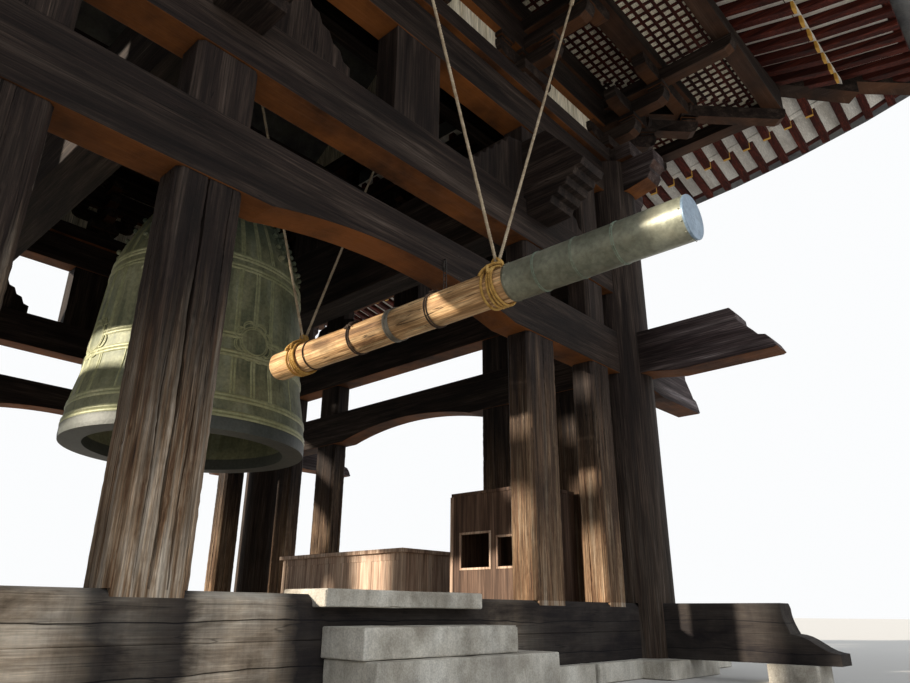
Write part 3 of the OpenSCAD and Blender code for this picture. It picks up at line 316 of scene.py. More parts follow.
logWood = woodMaterial("logWood", "y",
                       ((0.17, 0.086, 0.037), (0.44, 0.262, 0.125), (0.67, 0.455, 0.245), (0.82, 0.64, 0.40)),
                       along=0.8, across=11, stain=0.6, crack=0.85, roughness=0.6, fine=0.5,
                       blotchScale=(1.6, 4.0))
tileClay = plainMaterial("tileClay", ((0.045, 0.047, 0.050), (0.085, 0.088, 0.092), (0.15, 0.155, 0.158)),
                         2.2, 0.5, 0.25, 12, spots=dict(scale=1.3, colour=(0.16, 0.16, 0.135), amount=0.5))
stoneFace = plainMaterial("stoneFace", ((0.37, 0.335, 0.275), (0.56, 0.52, 0.445), (0.68, 0.645, 0.57)),
                          3.2, 0.85, 0.45, 26, drips=0.3,
                          spots=dict(scale=2.3, colour=(0.15, 0.125, 0.095), amount=0.55))
earthFloor = plainMaterial("earthFloor", ((0.22, 0.195, 0.16), (0.29, 0.26, 0.215), (0.36, 0.325, 0.27)),
                           1.6, 0.92, 0.4, 26)
bronze = bronzeMaterial()
paleBronze = plainMaterial("paleBronze", ((0.23, 0.24, 0.125), (0.37, 0.38, 0.215), (0.50, 0.50, 0.31)),
                           2.0, 0.5, 0.2, 12, 0.15)
sheathMetal = plainMaterial("sheathMetal", ((0.15, 0.156, 0.115), (0.245, 0.252, 0.19), (0.35, 0.355, 0.275)),
                            2.4, 0.42, 0.12, 10, 0.45,
                            spots=dict(scale=5.0, colour=(0.15, 0.115, 0.065), amount=0.3))
verdigris = plainMaterial("verdigris", ((0.10, 0.15, 0.11), (0.17, 0.235, 0.175), (0.25, 0.32, 0.245)),
                          9, 0.7)
capMetal = plainMaterial("capMetal", ((0.13, 0.19, 0.26), (0.19, 0.265, 0.345), (0.25, 0.33, 0.42)),
                         5.0, 0.42, 0.15, metallic=0.3)
hoopMetal = plainMaterial("hoopMetal", ((0.10, 0.088, 0.070), (0.17, 0.155, 0.125), (0.25, 0.23, 0.19)),
                          7, 0.5, 0.25, metallic=0.4)
iron = plainMaterial("iron", ((0.018, 0.016, 0.014), (0.035, 0.030, 0.026), (0.075, 0.052, 0.038)),
                     9.0, 0.55, metallic=0.6)
straw = plainMaterial("straw", ((0.27, 0.20, 0.13), (0.44, 0.35, 0.24), (0.57, 0.48, 0.35)), 14, 0.9, 0.5, 10)
goldRope = plainMaterial("goldRope", ((0.30, 0.16, 0.03), (0.50, 0.29, 0.07), (0.64, 0.42, 0.13)),
                         14, 0.85, 0.5, 10)
darkLash = plainMaterial("darkLash", ((0.020, 0.012, 0.008), (0.045, 0.028, 0.018), (0.10, 0.062, 0.04)),
                         14, 0.9, 0.5, 10)
print("finishes ready")

for material, names in (
        (darkBeam, "lower_ties upper_ties head_beams wall_plates wall_ties"),
        (darkOut, "middle_brackets corner_brackets hip_rafters bargeboards"),
        (darkRing, "step_purlins outer_purlins wall_top_beams roof_frame"),
        (darkUp, "corner_columns middle_posts upper_posts centre_struts wing_corbels bell_saddles"),
        (darkX, "bell_beam rope_beam rope_tie"),
        (darkY, "bell_girders"),
        (sillWood, "base_timbers sill_beams"),
        (vermilion, "base_rafters"),
        (vermilionFly, "flying_rafters"),
        (vermilionRing, "eave_fascia"),
        (chalkBoards, "eave_battens eave_boards"),
        (chalkWall, "lower_wall_boards upper_wall_boards gable_walls"),
        (tileClay, "roof_skirt upper_roof"),
        (earthFloor, "ground_floor"),
        (stoneFace, "footing_stones stone_steps"),
        (boardWood, "counter"),
        (boothWood, "booth"),
        (iron, "bell_hanger rope_brackets")):
    for name in names.split():
        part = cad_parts[name]
        if not part.material_slots:
            part.data.materials.append(material)
        for place in part.material_slots:
            place.material = material


# joined lists of points and faces
def join(parts):
    points, faces, base = [], [], 0
    for p, f in parts:
        points.append(np.asarray(p, float).reshape(-1, 3))
        faces += [tuple(int(i) + base for i in q) for q in f]
        base += len(points[-1])
    return np.vstack(points), faces


# one object from parts of points and faces, in place of the nodes it stands for
def makePiece(name, parts, material, body="frame", smooth=False, stands=()):
    points, faces = join(parts)
    mesh = bpy.data.meshes.new(name)
    mesh.from_pydata([tuple(p) for p in points], [], faces)
    mesh.update()
    mesh.materials.append(material)
    if smooth:
        mesh.polygons.foreach_set("use_smooth", np.ones(len(mesh.polygons), bool))
    made = bpy.data.objects.new(name, mesh)
    bpy.context.scene.collection.objects.link(made)
    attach(made, body)
    if stands:
        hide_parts(*stands)
    return made


def soften(made, width, segments=2):
    step = made.modifiers.new("soften", "BEVEL")
    step.width = width
    step.segments = segments
    step.limit_method = "ANGLE"
    step.angle_limit = math.radians(35)


boxFaces = [(0, 3, 2, 1), (4, 5, 6, 7), (0, 1, 5, 4), (1, 2, 6, 5), (2, 3, 7, 6), (3, 0, 4, 7)]


# a box from its spans along X, Y and Z
def block(*spans):
    (a, d), (b, e), (c, f) = [sorted(span) for span in spans]
    corners = [(a, b, c), (d, b, c), (d, e, c), (a, e, c), (a, b, f), (d, b, f), (d, e, f), (a, e, f)]
    return np.array(corners, float), boxFaces


# rings of equal length joined to a skin; closed ends where asked
def skin(rings, closed=True, ends=True):
    rings = np.asarray(rings, float)
    n, m = rings.shape[:2]
    faces = []
    for i in range(n - 1):
        for j in range(m if closed else m - 1):
            k = (j + 1) % m
            faces.append((i * m + j, i * m + k, (i + 1) * m + k, (i + 1) * m + j))
    if ends and closed:
        faces.append(tuple(range(m - 1, -1, -1)))
        faces.append(tuple((n - 1) * m + j for j in range(m)))
    return rings.reshape(-1, 3), faces


def circle(count, start=0.0):
    return np.linspace(start, 2 * math.pi + start, count)


def pathWays(path):
    ways = np.gradient(path, axis=0)
    return ways / np.linalg.norm(ways, axis=1)[:, None]


def pathLengths(path):
    return np.concatenate(([0], np.cumsum(np.linalg.norm(np.diff(path, axis=0), axis=1))))


# the place at one length or at many along a path
def alongPath(path, length, at):
    return np.stack([np.interp(at, length, path[:, i]) for i in range(3)], -1)


def tube(path, radius, sides=12, ends=True):
    path = np.asarray(path, float)
    ways = pathWays(path)
    a = np.cross(ways[0], (0, 0, 1.0) if abs(ways[0][2]) < 0.9 else (1.0, 0, 0))
    t = circle(sides + 1)[:-1, None]
    rings = []
    for p, w in zip(path, ways):
        a = a - np.dot(a, w) * w  # the section follows the bends without twisting
        a /= np.linalg.norm(a)
        rings.append(p + radius * (np.cos(t) * a - np.sin(t) * np.cross(w, a)))
    return skin(rings, True, ends)


# laid rope: three strands turning round the middle line
def laidRope(path, radius, pitch, sides=5):
    path = np.asarray(path, float)
    length = pathLengths(path)
    at = np.linspace(0, length[-1], max(8, int(length[-1] / pitch * 10)))
    line = alongPath(path, length, at)
    ways = pathWays(line)
    a = np.cross(ways, (0, 1.0, 0) if abs(ways[0][1]) < 0.7 else (1.0, 0, 0))
    a /= np.linalg.norm(a, axis=1)[:, None]
    b = np.cross(ways, a)
    parts = []
    for k in range(3):
        turn = (at / pitch * 2 * math.pi + k * 2 * math.pi / 3)[:, None]
        parts.append(tube(line + radius * 0.5 * (np.cos(turn) * a + np.sin(turn) * b), radius * 0.56, sides))
    return join(parts)


# boss, nail or end disc: a profile of radius and height, turned about the way out
def stud(centre, out, side, up, profile, sides):
    t = circle(sides + 1)[:-1, None]
    ring = side * np.cos(t) + up * np.sin(t)
    return skin([centre + out * high + ring * wide for wide, high in profile], True, False)


def turned(part, quarters):
    points, faces = part
    c, s = math.cos(quarters * math.pi / 2), math.sin(quarters * math.pi / 2)
    x, y, z = np.asarray(points, float).T
    return np.stack([x * c - y * s, x * s + y * c, z], 1), faces


def onEachSide(part):
    return [turned(part, quarters) for quarters in range(4)]


# posts of the lower bays, with checks along the grain that open and close again
# a check: face of the eight, place across it, start and end up the post, half width, depth, sway
posts = dict(bays=[(1.88, 0.48), (3.05, 0.38)], depth=0.29, chamfer=0.036, low=0.705, high=3.28, line=3.8,
             foot=0.042, rings=64, wear=0.0011, tries=5, deep=(0.010, 0.028), wide=(0.003, 0.008),
             splits=[(0, 0.47, -0.6, 1.6, 0.009, 0.05, 0.4), (0, 0.26, 0.0, 0.55, 0.005, 0.02, 2.0),
                     (0, 0.75, -0.3, 0.5, 0.006, 0.022, 4.0), (0, 0.88, 0.35, 1.2, 0.003, 0.012, 1.0),
                     (6, 0.35, -0.2, 0.8, 0.005, 0.02, 3.0), (6, 0.7, 0.2, 1.3, 0.004, 0.016, 5.0)])
postsAt = [(way * x, width) for way in (-1, 1) for x, width in posts["bays"]]


def checkedPost(x, width, checks, seed):
    own = np.random.default_rng(seed)
    w, d, c = width / 2, posts["depth"] / 2, posts["chamfer"]
    corners = np.array([(-w + c, -d), (w - c, -d), (w, -d + c), (w, d - c),
                        (w - c, d), (-w + c, d), (-w, d - c), (-w, -d + c)])
    heights = np.linspace(posts["low"], posts["high"], posts["rings"])
    rings = [[] for _ in heights]
    for i in range(8):
        a, b = corners[i], corners[(i + 1) % 8]
        long = np.linalg.norm(b - a)
        way = (b - a) / long
        inward = np.array((-way[1], way[0]))
        here = sorted(q for q in checks if q[0] == i)
        for ring, z in zip(rings, heights):
            t = (z - heights[0]) / (heights[-1] - heights[0])
            ring.append((*a, z))
            for _, place, start, stop, wide, deep, phase in here:
                u = (t - start) / (stop - start)
                opened = math.sin(math.pi * u) ** 0.5 if 0 < u < 1 else 0.0
                middle = place + 0.022 * math.sin(5.3 * t + phase) + 0.010 * math.sin(17 * t + 2 * phase)
                half = wide * (1 + 0.3 * math.sin(31 * t + phase)) * opened + 0.0006
                for off, dip in ((-1, 0), (-0.15, 1), (0.15, 1), (1, 0)):
                    p = a + way * (middle * long + off * half) + inward * (deep * opened * dip)
                    ring.append((*p, z))
    rings = np.array(rings)
    rings[:, :, :2] += own.normal(0, posts["wear"], (*rings.shape[:2], 2)) + (x, -posts["line"])
    return skin(rings)


def randomChecks(own):
    found = []
    for _ in range(posts["tries"]):
        side, place = int(own.choice([0, 2, 4, 6])), own.uniform(0.2, 0.8)
        if any(side == q[0] and abs(place - q[1]) < 0.16 for q in found):
            continue
        start = own.uniform(-0.3, 0.5)
        found.append((side, place, start, start + own.uniform(0.4, 1.0), own.uniform(*posts["wide"]),
                      own.uniform(*posts["deep"]), own.uniform(0, 6)))
    return found


postParts, footParts = [], []
for quarters in range(4):
    for number, (x, width) in enumerate(postsAt):
        seed = 100 + quarters * 10 + number
        checks = randomChecks(np.random.default_rng(seed))
        if quarters == 0 and number == 0:  # front post with the long deep split
            checks = posts["splits"]
        postParts.append(turned(checkedPost(x, width, checks, seed), quarters))
weatheredPosts = makePiece("weatheredPosts", postParts, postWood,
                           stands=["lower_posts"])
weatheredPosts.data.materials.append(innerPostWood)
for face in weatheredPosts.data.polygons:  # only the posts left of the front opening stand in the sun
    face.material_index = 0 if face.center[0] < 0 and face.center[1] < -3 else 1
for x, width in postsAt:  # wedges that end the chamfers at each foot
    y, top, foot = -posts["line"] - posts["depth"] / 2, posts["low"], posts["foot"]
    a, b = x - width / 2 + posts["chamfer"], x + width / 2 - posts["chamfer"]
    wedge = [(a, y, top), (b, y, top), (a, y, top - foot), (b, y, top - foot),
             (a, y + foot, top), (b, y + foot, top)]
    footParts += onEachSide((wedge, [(0, 2, 3, 1), (0, 1, 5, 4), (2, 4, 5, 3), (0, 4, 2), (1, 3, 5)]))
makePiece("postFeet", footParts, postWood)
print("posts carved")


# stone steps and sill slab with rounded, chipped edges
steps = dict(blocks=[((-0.805, -4.09, 0.625), (0.720, -3.622, 0.740)),
                     ((-0.720, -4.37, 0.325), (0.800, -3.952, 0.515)),
                     ((-0.690, -4.46, 0.0), (1.200, -3.952, 0.3245))],
             edge=0.013, grid=0.04, rough=0.0022, chip=0.016)


def softNoise(points, own, size):
    waves = 14
    value = np.zeros(len(points))
    for _ in range(waves):
        way = own.normal(0, 1, 3)
        way /= np.linalg.norm(way)
        value += np.sin(points @ way / size * own.uniform(0.6, 2.2) + own.uniform(0, 6.3))
    return value / math.sqrt(waves)


def wornBlock(low, high, seed):
    own = np.random.default_rng(seed)
    edge = steps["edge"]
    lines = []
    for a, b in zip(low, high):
        inner = np.linspace(a + edge, b - edge, max(2, int((b - a) / steps["grid"])))
        lines.append(np.unique([a, a + edge * 0.35, *inner, b - edge * 0.35, b]))
    points, index, faces = [], {}, []

    def at(spot):
        if spot not in index:
            index[spot] = len(points)
            points.append([line[i] for line, i in zip(lines, spot)])
        return index[spot]

    n = [len(q) for q in lines]
    for side in range(3):
        u, v = (side + 1) % 3, (side + 2) % 3
        for far in (0, n[side] - 1):
            for i in range(n[u] - 1):
                for j in range(n[v] - 1):
                    quad = []
                    for di, dj in ((0, 0), (1, 0), (1, 1), (0, 1)):
                        spot = [0, 0, 0]
                        spot[side], spot[u], spot[v] = far, i + di, j + dj
                        quad.append(at(tuple(spot)))
                    faces.append(quad if far else quad[::-1])
    points = np.array(points)
    core = np.clip(points, np.array(low) + edge, np.array(high) - edge)
    way = points - core
    way /= np.maximum(np.linalg.norm(way, axis=1), 1e-9)[:, None]
    wear = np.clip(softNoise(points, own, 0.09) * 0.5 + 0.6, 0, 2) * steps["rough"]
    wear += np.abs(own.normal(0, 0.0006, len(points)))
    onEdge = (np.abs(way) > 0.1).sum(1) > 1
    chips = np.clip(softNoise(points, own, 0.05) - 1.0, 0, 1) * steps["chip"]
    return core + way * (edge - wear - np.where(onEdge, chips, 0))[:, None], faces


makePiece("wornSteps", [wornBlock(low, high, 40 + n) for n, (low, high) in enumerate(steps["blocks"])],
          stoneFace, stands=["stone_steps"])

# softened arrises on the timbers, footing stones and boarded boxes
for width, names in (
        (0.010, "lower_ties upper_ties head_beams wall_plates sill_beams base_timbers step_purlins"),
        (0.010, "outer_purlins bell_girders bell_beam bell_saddles wing_corbels centre_struts"),
        (0.010, "middle_posts upper_posts middle_brackets corner_brackets rope_beam rope_tie"),
        (0.018, "footing_stones"),
        (0.004, "counter booth")):
    for name in names.split():
        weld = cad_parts[name].modifiers.new("weld", "WELD")
        weld.merge_threshold = 0.0002
        soften(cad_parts[name], width)

# boards of the counter and the booth, with trims round the windows
planks = dict(floor=0.66, width=0.118, gap=0.003, lift=0.004, thick=0.009)
counter = dict(x=(2.6, 3.5), y=(-1.23, 1.29), high=0.64, panels=4, inset=0.014, stile=0.057, thick=0.007,
               rails=(0.091, 0.549), ends=(2.603, 3.4966), endPlanks=8, plinth=0.05)
booth = dict(x=(2.8, 3.6), y=(-3.12, -1.90), high=1.27, planks=10, trim=0.026,
             windows=[(-3.03, -2.60, 1.09, 1.41), (-2.47, -2.04, 1.09, 1.47)])
own = np.random.default_rng(9)
floorZ = planks["floor"]
counterZ = (floorZ + planks["lift"], floorZ + counter["high"] - 0.002)
boothZ = (floorZ + planks["lift"], floorZ + booth["high"])


def plankSpans(low, high, count):
    lines = np.linspace(low, high, count + 1)
    return list(zip(lines[:-1] + planks["gap"] / 2, lines[1:] - planks["gap"] / 2))


plankParts = []
panelLines = np.linspace(*counter["y"], counter["panels"] + 1)
for x, way in ((counter["x"][0] + counter["inset"], -1), (counter["x"][1] - counter["inset"], 1)):
    for low, high in zip(panelLines[:-1] + counter["stile"], panelLines[1:] - counter["stile"]):
        for span in plankSpans(low, high, round((high - low) / planks["width"])):
            deep = counter["thick"] + own.uniform(-0.001, 0.001)
            plankParts.append(block((x, x + way * deep), span, [floorZ + z for z in counter["rails"]]))
for y, way in zip(counter["y"], (-1, 1)):
    for span in plankSpans(*counter["ends"], counter["endPlanks"]):
        deep = planks["thick"] + own.uniform(-0.001, 0.001)
        plankParts.append(block(span, (y, y + way * deep), counterZ))
makePiece("counterPlanks", plankParts, boardWood)

plankParts, trimParts = [], []
x = booth["x"][0]
fronts, sides = (plankSpans(*booth[way], booth["planks"]) for way in "yx")
for (a, b), sideSpan in zip(fronts, sides):
    spans = [boothZ]
    for start, stop, sill, top in booth["windows"]:
        if a < stop and b > start:
            spans = [(spans[0][0], sill), (top, spans[-1][1])]
            if a < start:
                plankParts.append(block((x - planks["thick"], x), (a, start), (sill, top)))
            if b > stop:
                plankParts.append(block((x - planks["thick"], x), (stop, b), (sill, top)))
    for span in spans:
        plankParts.append(block((x - planks["thick"] - own.uniform(0, 0.0015), x), (a, b), span))
    for y, way in zip(booth["y"], (-1, 1)):
        deep = planks["thick"] + own.uniform(0, 0.0015)
        plankParts.append(block(sideSpan, (y, y + way * deep), boothZ))
makePiece("boothPlanks", plankParts, boothWood)
for start, stop, sill, top in booth["windows"]:
    t = booth["trim"]
    for ys, zs in (((start - t, stop + t), (sill - t, sill)), ((start - t, stop + t), (top, top + t)),
                   ((start - t, start), (sill, top)), ((stop, stop + t), (sill, top))):
        trimParts.append(block((x - 0.020, x + 0.012), ys, zs))
(y0, y1), (c0, c1), c = booth["y"], counter["y"], counter["x"][0]
for xs, ys, high in (((x - 0.022, x + 0.03), (y0 - 0.02, y0 + 0.02), booth["high"]),
                     ((x - 0.022, x + 0.03), (y1 - 0.012, y1 + 0.036), booth["high"]),
                     ((c - 0.012, c + 0.02), (c0, c0 + 0.055), counter["high"]),
                     ((c - 0.012, c + 0.02), (c1 - 0.08, c1 - 0.025), counter["high"]),
                     ((c - 0.012, c + 0.01), (c0, c1), counter["plinth"])):
    trimParts.append(block(xs, ys, (floorZ, floorZ + high)))
soften(makePiece("boothTrims", trimParts, boardWood), 0.003, 1)
print("steps, counter and booth done")

# latticed ceilings between the purlins: red bars under white boards, mitred at the corners
lattice = dict(rings=[(4.84, 5.54, 7.690), (3.84, 4.56, 7.930)], pitch=0.125, bar=0.038, depth=0.030,
               board=0.012, shortest=0.06)
barParts, boardParts = [], []
for inner, outer, low in lattice["rings"]:
    top, half, pitch = low + lattice["depth"], lattice["bar"] / 2, lattice["pitch"]
    under = top - lattice["board"]
    plate = np.array([(-outer, -outer, 0), (outer, -outer, 0), (inner, -inner, 0), (-inner, -inner, 0)])
    boardParts += onEachSide((np.vstack([plate + (0, 0, under), plate + (0, 0, top)]), boxFaces))
    rows = int((outer - inner) / pitch)
    for u in inner + (outer - inner - (rows - 1) * pitch) / 2 + np.arange(rows) * pitch:
        a, b = u + half, u - half
        flat = np.array([(-a, -a, 0), (a, -a, 0), (b, -b, 0), (-b, -b, 0)])
        barParts += onEachSide((np.vstack([flat + (0, 0, low), flat + (0, 0, under)]), boxFaces))
    count = int(outer / pitch)
    for x in np.arange(-count, count + 1) * pitch:
        near = max(inner, abs(x))
        if outer - near > lattice["shortest"]:
            barParts += onEachSide(block((x - half, x + half), (-outer, -near), (low + 0.002, under)))
makePiece("latticeBars", barParts, vermilionRing, stands=["lattice_ceilings"])
makePiece("latticeBoards", boardParts, chalkWall)
print("lattices laid")


# great bell: turned body with raised cords, boss rows and four striking flowers
# outer: millimetres out from the mouth's edge, and up; inner: metres in from it, and up
bell = dict(x=0.2, z=2.34, r=1.345, turns=160, cordR=0.016, bossR=0.047, bossGap=0.155, bossColumns=7,
            bands=((0.155, 0.385), (0.86, 1.12), (1.95, 2.12)), bossRows=(2.33, 2.50, 2.67, 2.84),
            topCord=2.93, bandCords=(-0.25, -0.215, -0.018, 0.018, 0.215, 0.25), flowerZ=1.07, flowerR=0.25,
            flowerRings=((0.62, 0.010), (0.71, 0.008)), petals=((1.0, 0.010), (0.90, 0.007)), petalIn=0.74,
            flowerDisc=((0.62, -0.004), (0.58, 0.012), (0.30, 0.016), (0.01, 0.017)),
            bossTurned=((1.1, -0.2), (1.0, 0.15), (0.62, 0.25), (0.72, 0.9), (0.5, 1.25), (0.05, 1.4)),
            outer=[(0, 0), (6, 40), (4, 130), (-4, 150), (-16, 290), (-34, 420), (-50, 520), (-92, 720),
                   (-114, 960), (-136, 1220), (-156, 1480), (-176, 1740), (-198, 1960), (-220, 2160),
                   (-285, 2360), (-345, 2510), (-415, 2680), (-495, 2850), (-600, 2990), (-700, 3045),
                   (-800, 3080), (-1050, 3110), (-1344, 3112)],
            inner=[(0.24, 0), (0.21, 0.2), (0.19, 0.7), (0.306, 1.74), (0.415, 2.3), (0.56, 2.6),
                   (0.83, 2.95), (1.344, 2.98)],
            loop=[(0.37, 5.40), (0.39, 5.62), (0.33, 5.86), (0.20, 6.03), (0, 6.085)])
outerR, outerZ = (np.array(bell["outer"]) / 1000 + (bell["r"], 0)).T


def bellRadius(z):
    return np.interp(z, outerZ, outerR)


def bellPoint(angle, z, lift=0.0):
    r = bellRadius(z) + lift
    return np.array((bell["x"] + r * math.cos(angle), r * math.sin(angle), bell["z"] + z))


def turnedShape(profile, sides):
    a = circle(sides + 1)[:-1]
    return skin([np.stack([bell["x"] + r * np.cos(a), r * np.sin(a), np.full(sides, bell["z"] + z)], 1)
                 for r, z in profile], True, False)


def cordProfile(r):
    return [(-0.004, -r * 1.6), (r * 0.5, -r * 0.9), (r * 0.8, 0), (r * 0.5, r * 0.9), (-0.004, r * 1.6)]


def cordRing(z, r):
    slope = (bellRadius(z + 0.02) - bellRadius(z - 0.02)) / 0.04
    return skin([[(bell["x"] + (bellRadius(z) + dr + slope * dz) * math.cos(t),
                   (bellRadius(z) + dr + slope * dz) * math.sin(t), bell["z"] + z + dz)
                  for dr, dz in cordProfile(r)] for t in circle(bell["turns"] + 1)], False, False)


def cordUp(angle, z0, z1, r):
    aside = np.array((-math.sin(angle), math.cos(angle), 0))
    return skin([[bellPoint(angle, z, dr) + aside * dt for dr, dt in cordProfile(r)[::-1]]
                 for z in np.linspace(z0, z1, max(3, int((z1 - z0) / 0.06)))], False, False)


wallZ = np.unique(np.concatenate([outerZ, np.linspace(0, 2.99, 60)]))
wall = [(bellRadius(z), z) for z in wallZ[::-1]] + [(bell["r"] - inset, z) for inset, z in bell["inner"]]
bellParts, cordParts = [turnedShape(wall, bell["turns"])], []
for low, high in bell["bands"]:
    for z in (low, low + 0.04, high - 0.04, high):
        cordParts.append(cordRing(z, bell["cordR"]))
cordParts.append(cordRing(bell["topCord"], 0.012))
bandEnds = [z for band in bell["bands"] for z in band]
spans = list(zip(bandEnds[1::2], (*bandEnds[2::2], bell["topCord"] - 0.01)))
for quarters in range(4):  # upright bands on the quarters, through the striking places and between
    a = -math.pi / 2 + quarters * math.pi / 2
    for off in bell["bandCords"]:
        for span in spans:
            cordParts.append(cordUp(a + off / 1.28, *span, 0.011))
    for share in (0.30, 0.70):  # fields between the bands
        cordParts.append(cordUp(a + share * math.pi / 2, *spans[0], 0.009))
bossProfile = [(wide * bell["bossR"], high * bell["bossR"]) for wide, high in bell["bossTurned"]]
for quarters in range(4):  # boss fields over the high band
    for z in bell["bossRows"]:
        for column in range(bell["bossColumns"]):
            t = -math.pi / 4 + quarters * math.pi / 2 + (column - bell["bossColumns"] // 2) * bell["bossGap"]
            tip = math.atan2(float(bellRadius(z - 0.03) - bellRadius(z + 0.03)), 0.06)
            out = np.array((math.cos(t) * math.cos(tip), math.sin(t) * math.cos(tip), math.sin(tip)))
            side = np.array((math.sin(t), -math.cos(t), 0))
            bellParts.append(stud(bellPoint(t, z), out, side, np.cross(out, side), bossProfile, 8))


# a place on a striking flower: out from its middle, round it, and off the wall
def onFlower(middle, out, turn, lift):
    r = bell["flowerR"] * out
    return bellPoint(middle + r * math.cos(turn) / bellRadius(bell["flowerZ"]),
                     bell["flowerZ"] + r * math.sin(turn), lift)


for a in (-math.pi / 2, math.pi / 2, 0, math.pi):  # striking flowers on the crossings
    turns = circle(97)
    for out, thick in bell["flowerRings"]:
        cordParts.append(tube([onFlower(a, out, t, 0.006) for t in turns], thick, 6, False))
    low = bell["petalIn"]
    for high, thick in bell["petals"]:  # eight scallops
        path = [onFlower(a, low + (high - low) * abs(math.sin(4 * t)) ** 0.5, t, 0.004) for t in turns]
        cordParts.append(tube(path, thick, 6, False))
    bellParts.append(skin([[onFlower(a, out, t, lift) for t in turns[:-1]]
                           for out, lift in bell["flowerDisc"]], True, False))
bellBody = makePiece("castBell", bellParts, bronze, smooth=True, stands=["bell"])
bellBody.modifiers.new("crisp", "EDGE_SPLIT").split_angle = math.radians(36)
makePiece("bellCords", cordParts, paleBronze, smooth=True)
# loop on the crown: three plain arched bars side by side
arch = np.array([(-x, z) for x, z in bell["loop"]] + bell["loop"][-2::-1])
at = np.linspace(0, len(arch) - 1, 41)
x, z = (np.interp(at, range(len(arch)), q) for q in arch.T)
path = np.stack([bell["x"] + x, 0 * x, z], 1)
for _ in range(3):
    path[1:-1] = (path[:-2] + path[1:-1] * 2 + path[2:]) / 4
loopParts = [tube(path + (0, off, 0), thick, 10)
             for off, thick in ((-0.075, 0.06), (0, 0.085), (0.075, 0.06))]
makePiece("bellLoop", loopParts, bronze, smooth=True)
print("bell cast")


# striker log, its sheath, lashings and ropes; a check: angle, start and end along the log, depth
striker = dict(x=0.2, z=2.99, r=0.148, sides=72, front=-6.31, back=-1.78, logEnd=-4.93, sheathBack=-4.85,
               sheathR=0.1533, sheathBore=0.1485, seams=(-5.14, -5.47, -5.80), seamR=0.1555, nailR=0.1545,
               bandR=0.1515, lashR=0.163, nearY=-4.70, farY=-2.16, nearSpread=1.50,
               farSpread=1.30, pinLow=3.213, pinHigh=7.24, ropeR=0.014,
               bands=(-4.053, -4.027, -3.053, -3.027, -2.366), hoopY=-3.55, hoopHalf=0.03,
               knots=((-3.04, 2.05), (-3.04, 2.55), (-4.04, 1.75)), knotTurns=(0.35, 1.15, 2.0, 2.8),
               lashTurns=(-0.062, -0.034, -0.008, 0.040), crossR=0.182, crossed=0.05,
               nail=((0.007, 0), (0.006, 0.003), (0.001, 0.0045)),
               cap=((0.1536, 0.014), (0.1560, 0.007), (0.1560, -0.002), (0.1520, -0.0055), (0.146, -0.0045),
                    (0.10, -0.0058), (0.002, -0.006)),
               hoop=((0.1475, -0.027), (0.151, -0.026), (0.151, 0.026), (0.1475, 0.027)),
               checks=((1.1, -2.0, -3.6, 0.014), (2.6, -3.2, -4.7, 0.012), (4.4, -1.9, -4.1, 0.016),
                       (5.5, -2.6, -4.4, 0.010)))
sx, sz = striker["x"], striker["z"]
ringAngles = circle(striker["sides"] + 1)[:-1]


# points round the log's middle line; y may change on the way round
def aroundLog(radius, y, angles=ringAngles, lift=0.0):
    return np.stack([sx + radius * np.cos(angles), y + 0 * angles, sz + radius * np.sin(angles) + lift], 1)


# a ring of thin round bar, or of cord, tight round the log
def wrap(radius, y, thick, count):
    return tube(aroundLog(radius, y, circle(count)), thick, 6, False)


# an oval ring square to X
def ringAcross(x, y, z, wide, tall, angles):
    return np.stack([x + 0 * angles, y + wide * np.cos(angles), z + tall * np.sin(angles)], 1)


logRings = []
alongLog = np.linspace(striker["back"] - 0.012, striker["logEnd"] + 0.03, 90)
for y in (striker["back"], *alongLog, striker["logEnd"]):
    uneven = 0.0018 * np.sin(3 * ringAngles + y * 2.3) + 0.0012 * np.sin(7 * ringAngles - y * 5)
    r = striker["r"] - 0.004 + uneven
    if y == striker["back"]:  # the end's edge is worn round
        r -= 0.014
    for angle, high, low, deep in striker["checks"]:
        if low < y < high:
            place = (angle + 0.06 * math.sin(4 * y)) / (2 * math.pi) * striker["sides"]
            opened = math.sin(math.pi * (y - low) / (high - low)) ** 0.5
            r[int(round(place)) % striker["sides"]] -= deep * opened
    logRings.append(aroundLog(r, y))
makePiece("strikerLog", [skin(logRings[::-1])], logWood, "striker", stands=["striker"])

sheathRings = [aroundLog(striker["sheathBore"], striker["sheathBack"])]
for y in np.linspace(striker["sheathBack"], striker["front"] - 0.004, 60):
    r = striker["sheathR"] + 0.0007 * math.sin(9 * y) + (0.003 if y == striker["sheathBack"] else 0)
    for seam in striker["seams"]:
        r += 0.004 * math.exp(-((y - seam) / 0.012) ** 2)
    sheathRings.append(aroundLog(r, y))
makePiece("sheathTube", [skin(sheathRings, True, False)], sheathMetal, "striker", True,
          ["striker_sheath"])
seamParts = [wrap(striker["seamR"], y + off, 0.0024, 61) for y in striker["seams"] for off in (-0.007, 0.007)]
makePiece("sheathSeams", seamParts, verdigris, "striker", True)
capRings = [aroundLog(r, striker["front"] + off) for r, off in striker["cap"]]
makePiece("sheathCap", [skin(capRings, True, False)], capMetal, "striker", True)
nailParts = []
for y in (striker["sheathBack"] - 0.02, *striker["seams"], striker["front"] + 0.025):
    for a in circle(13)[:-1]:
        out, side = np.array((math.cos(a), 0, math.sin(a))), np.array((-math.sin(a), 0, math.cos(a)))
        nailParts.append(stud(np.array((sx, y, sz)) + out * striker["nailR"], out, side, np.array((0, 1, 0)),
                              striker["nail"], 6))
makePiece("sheathNails", nailParts, sheathMetal, "striker", True)

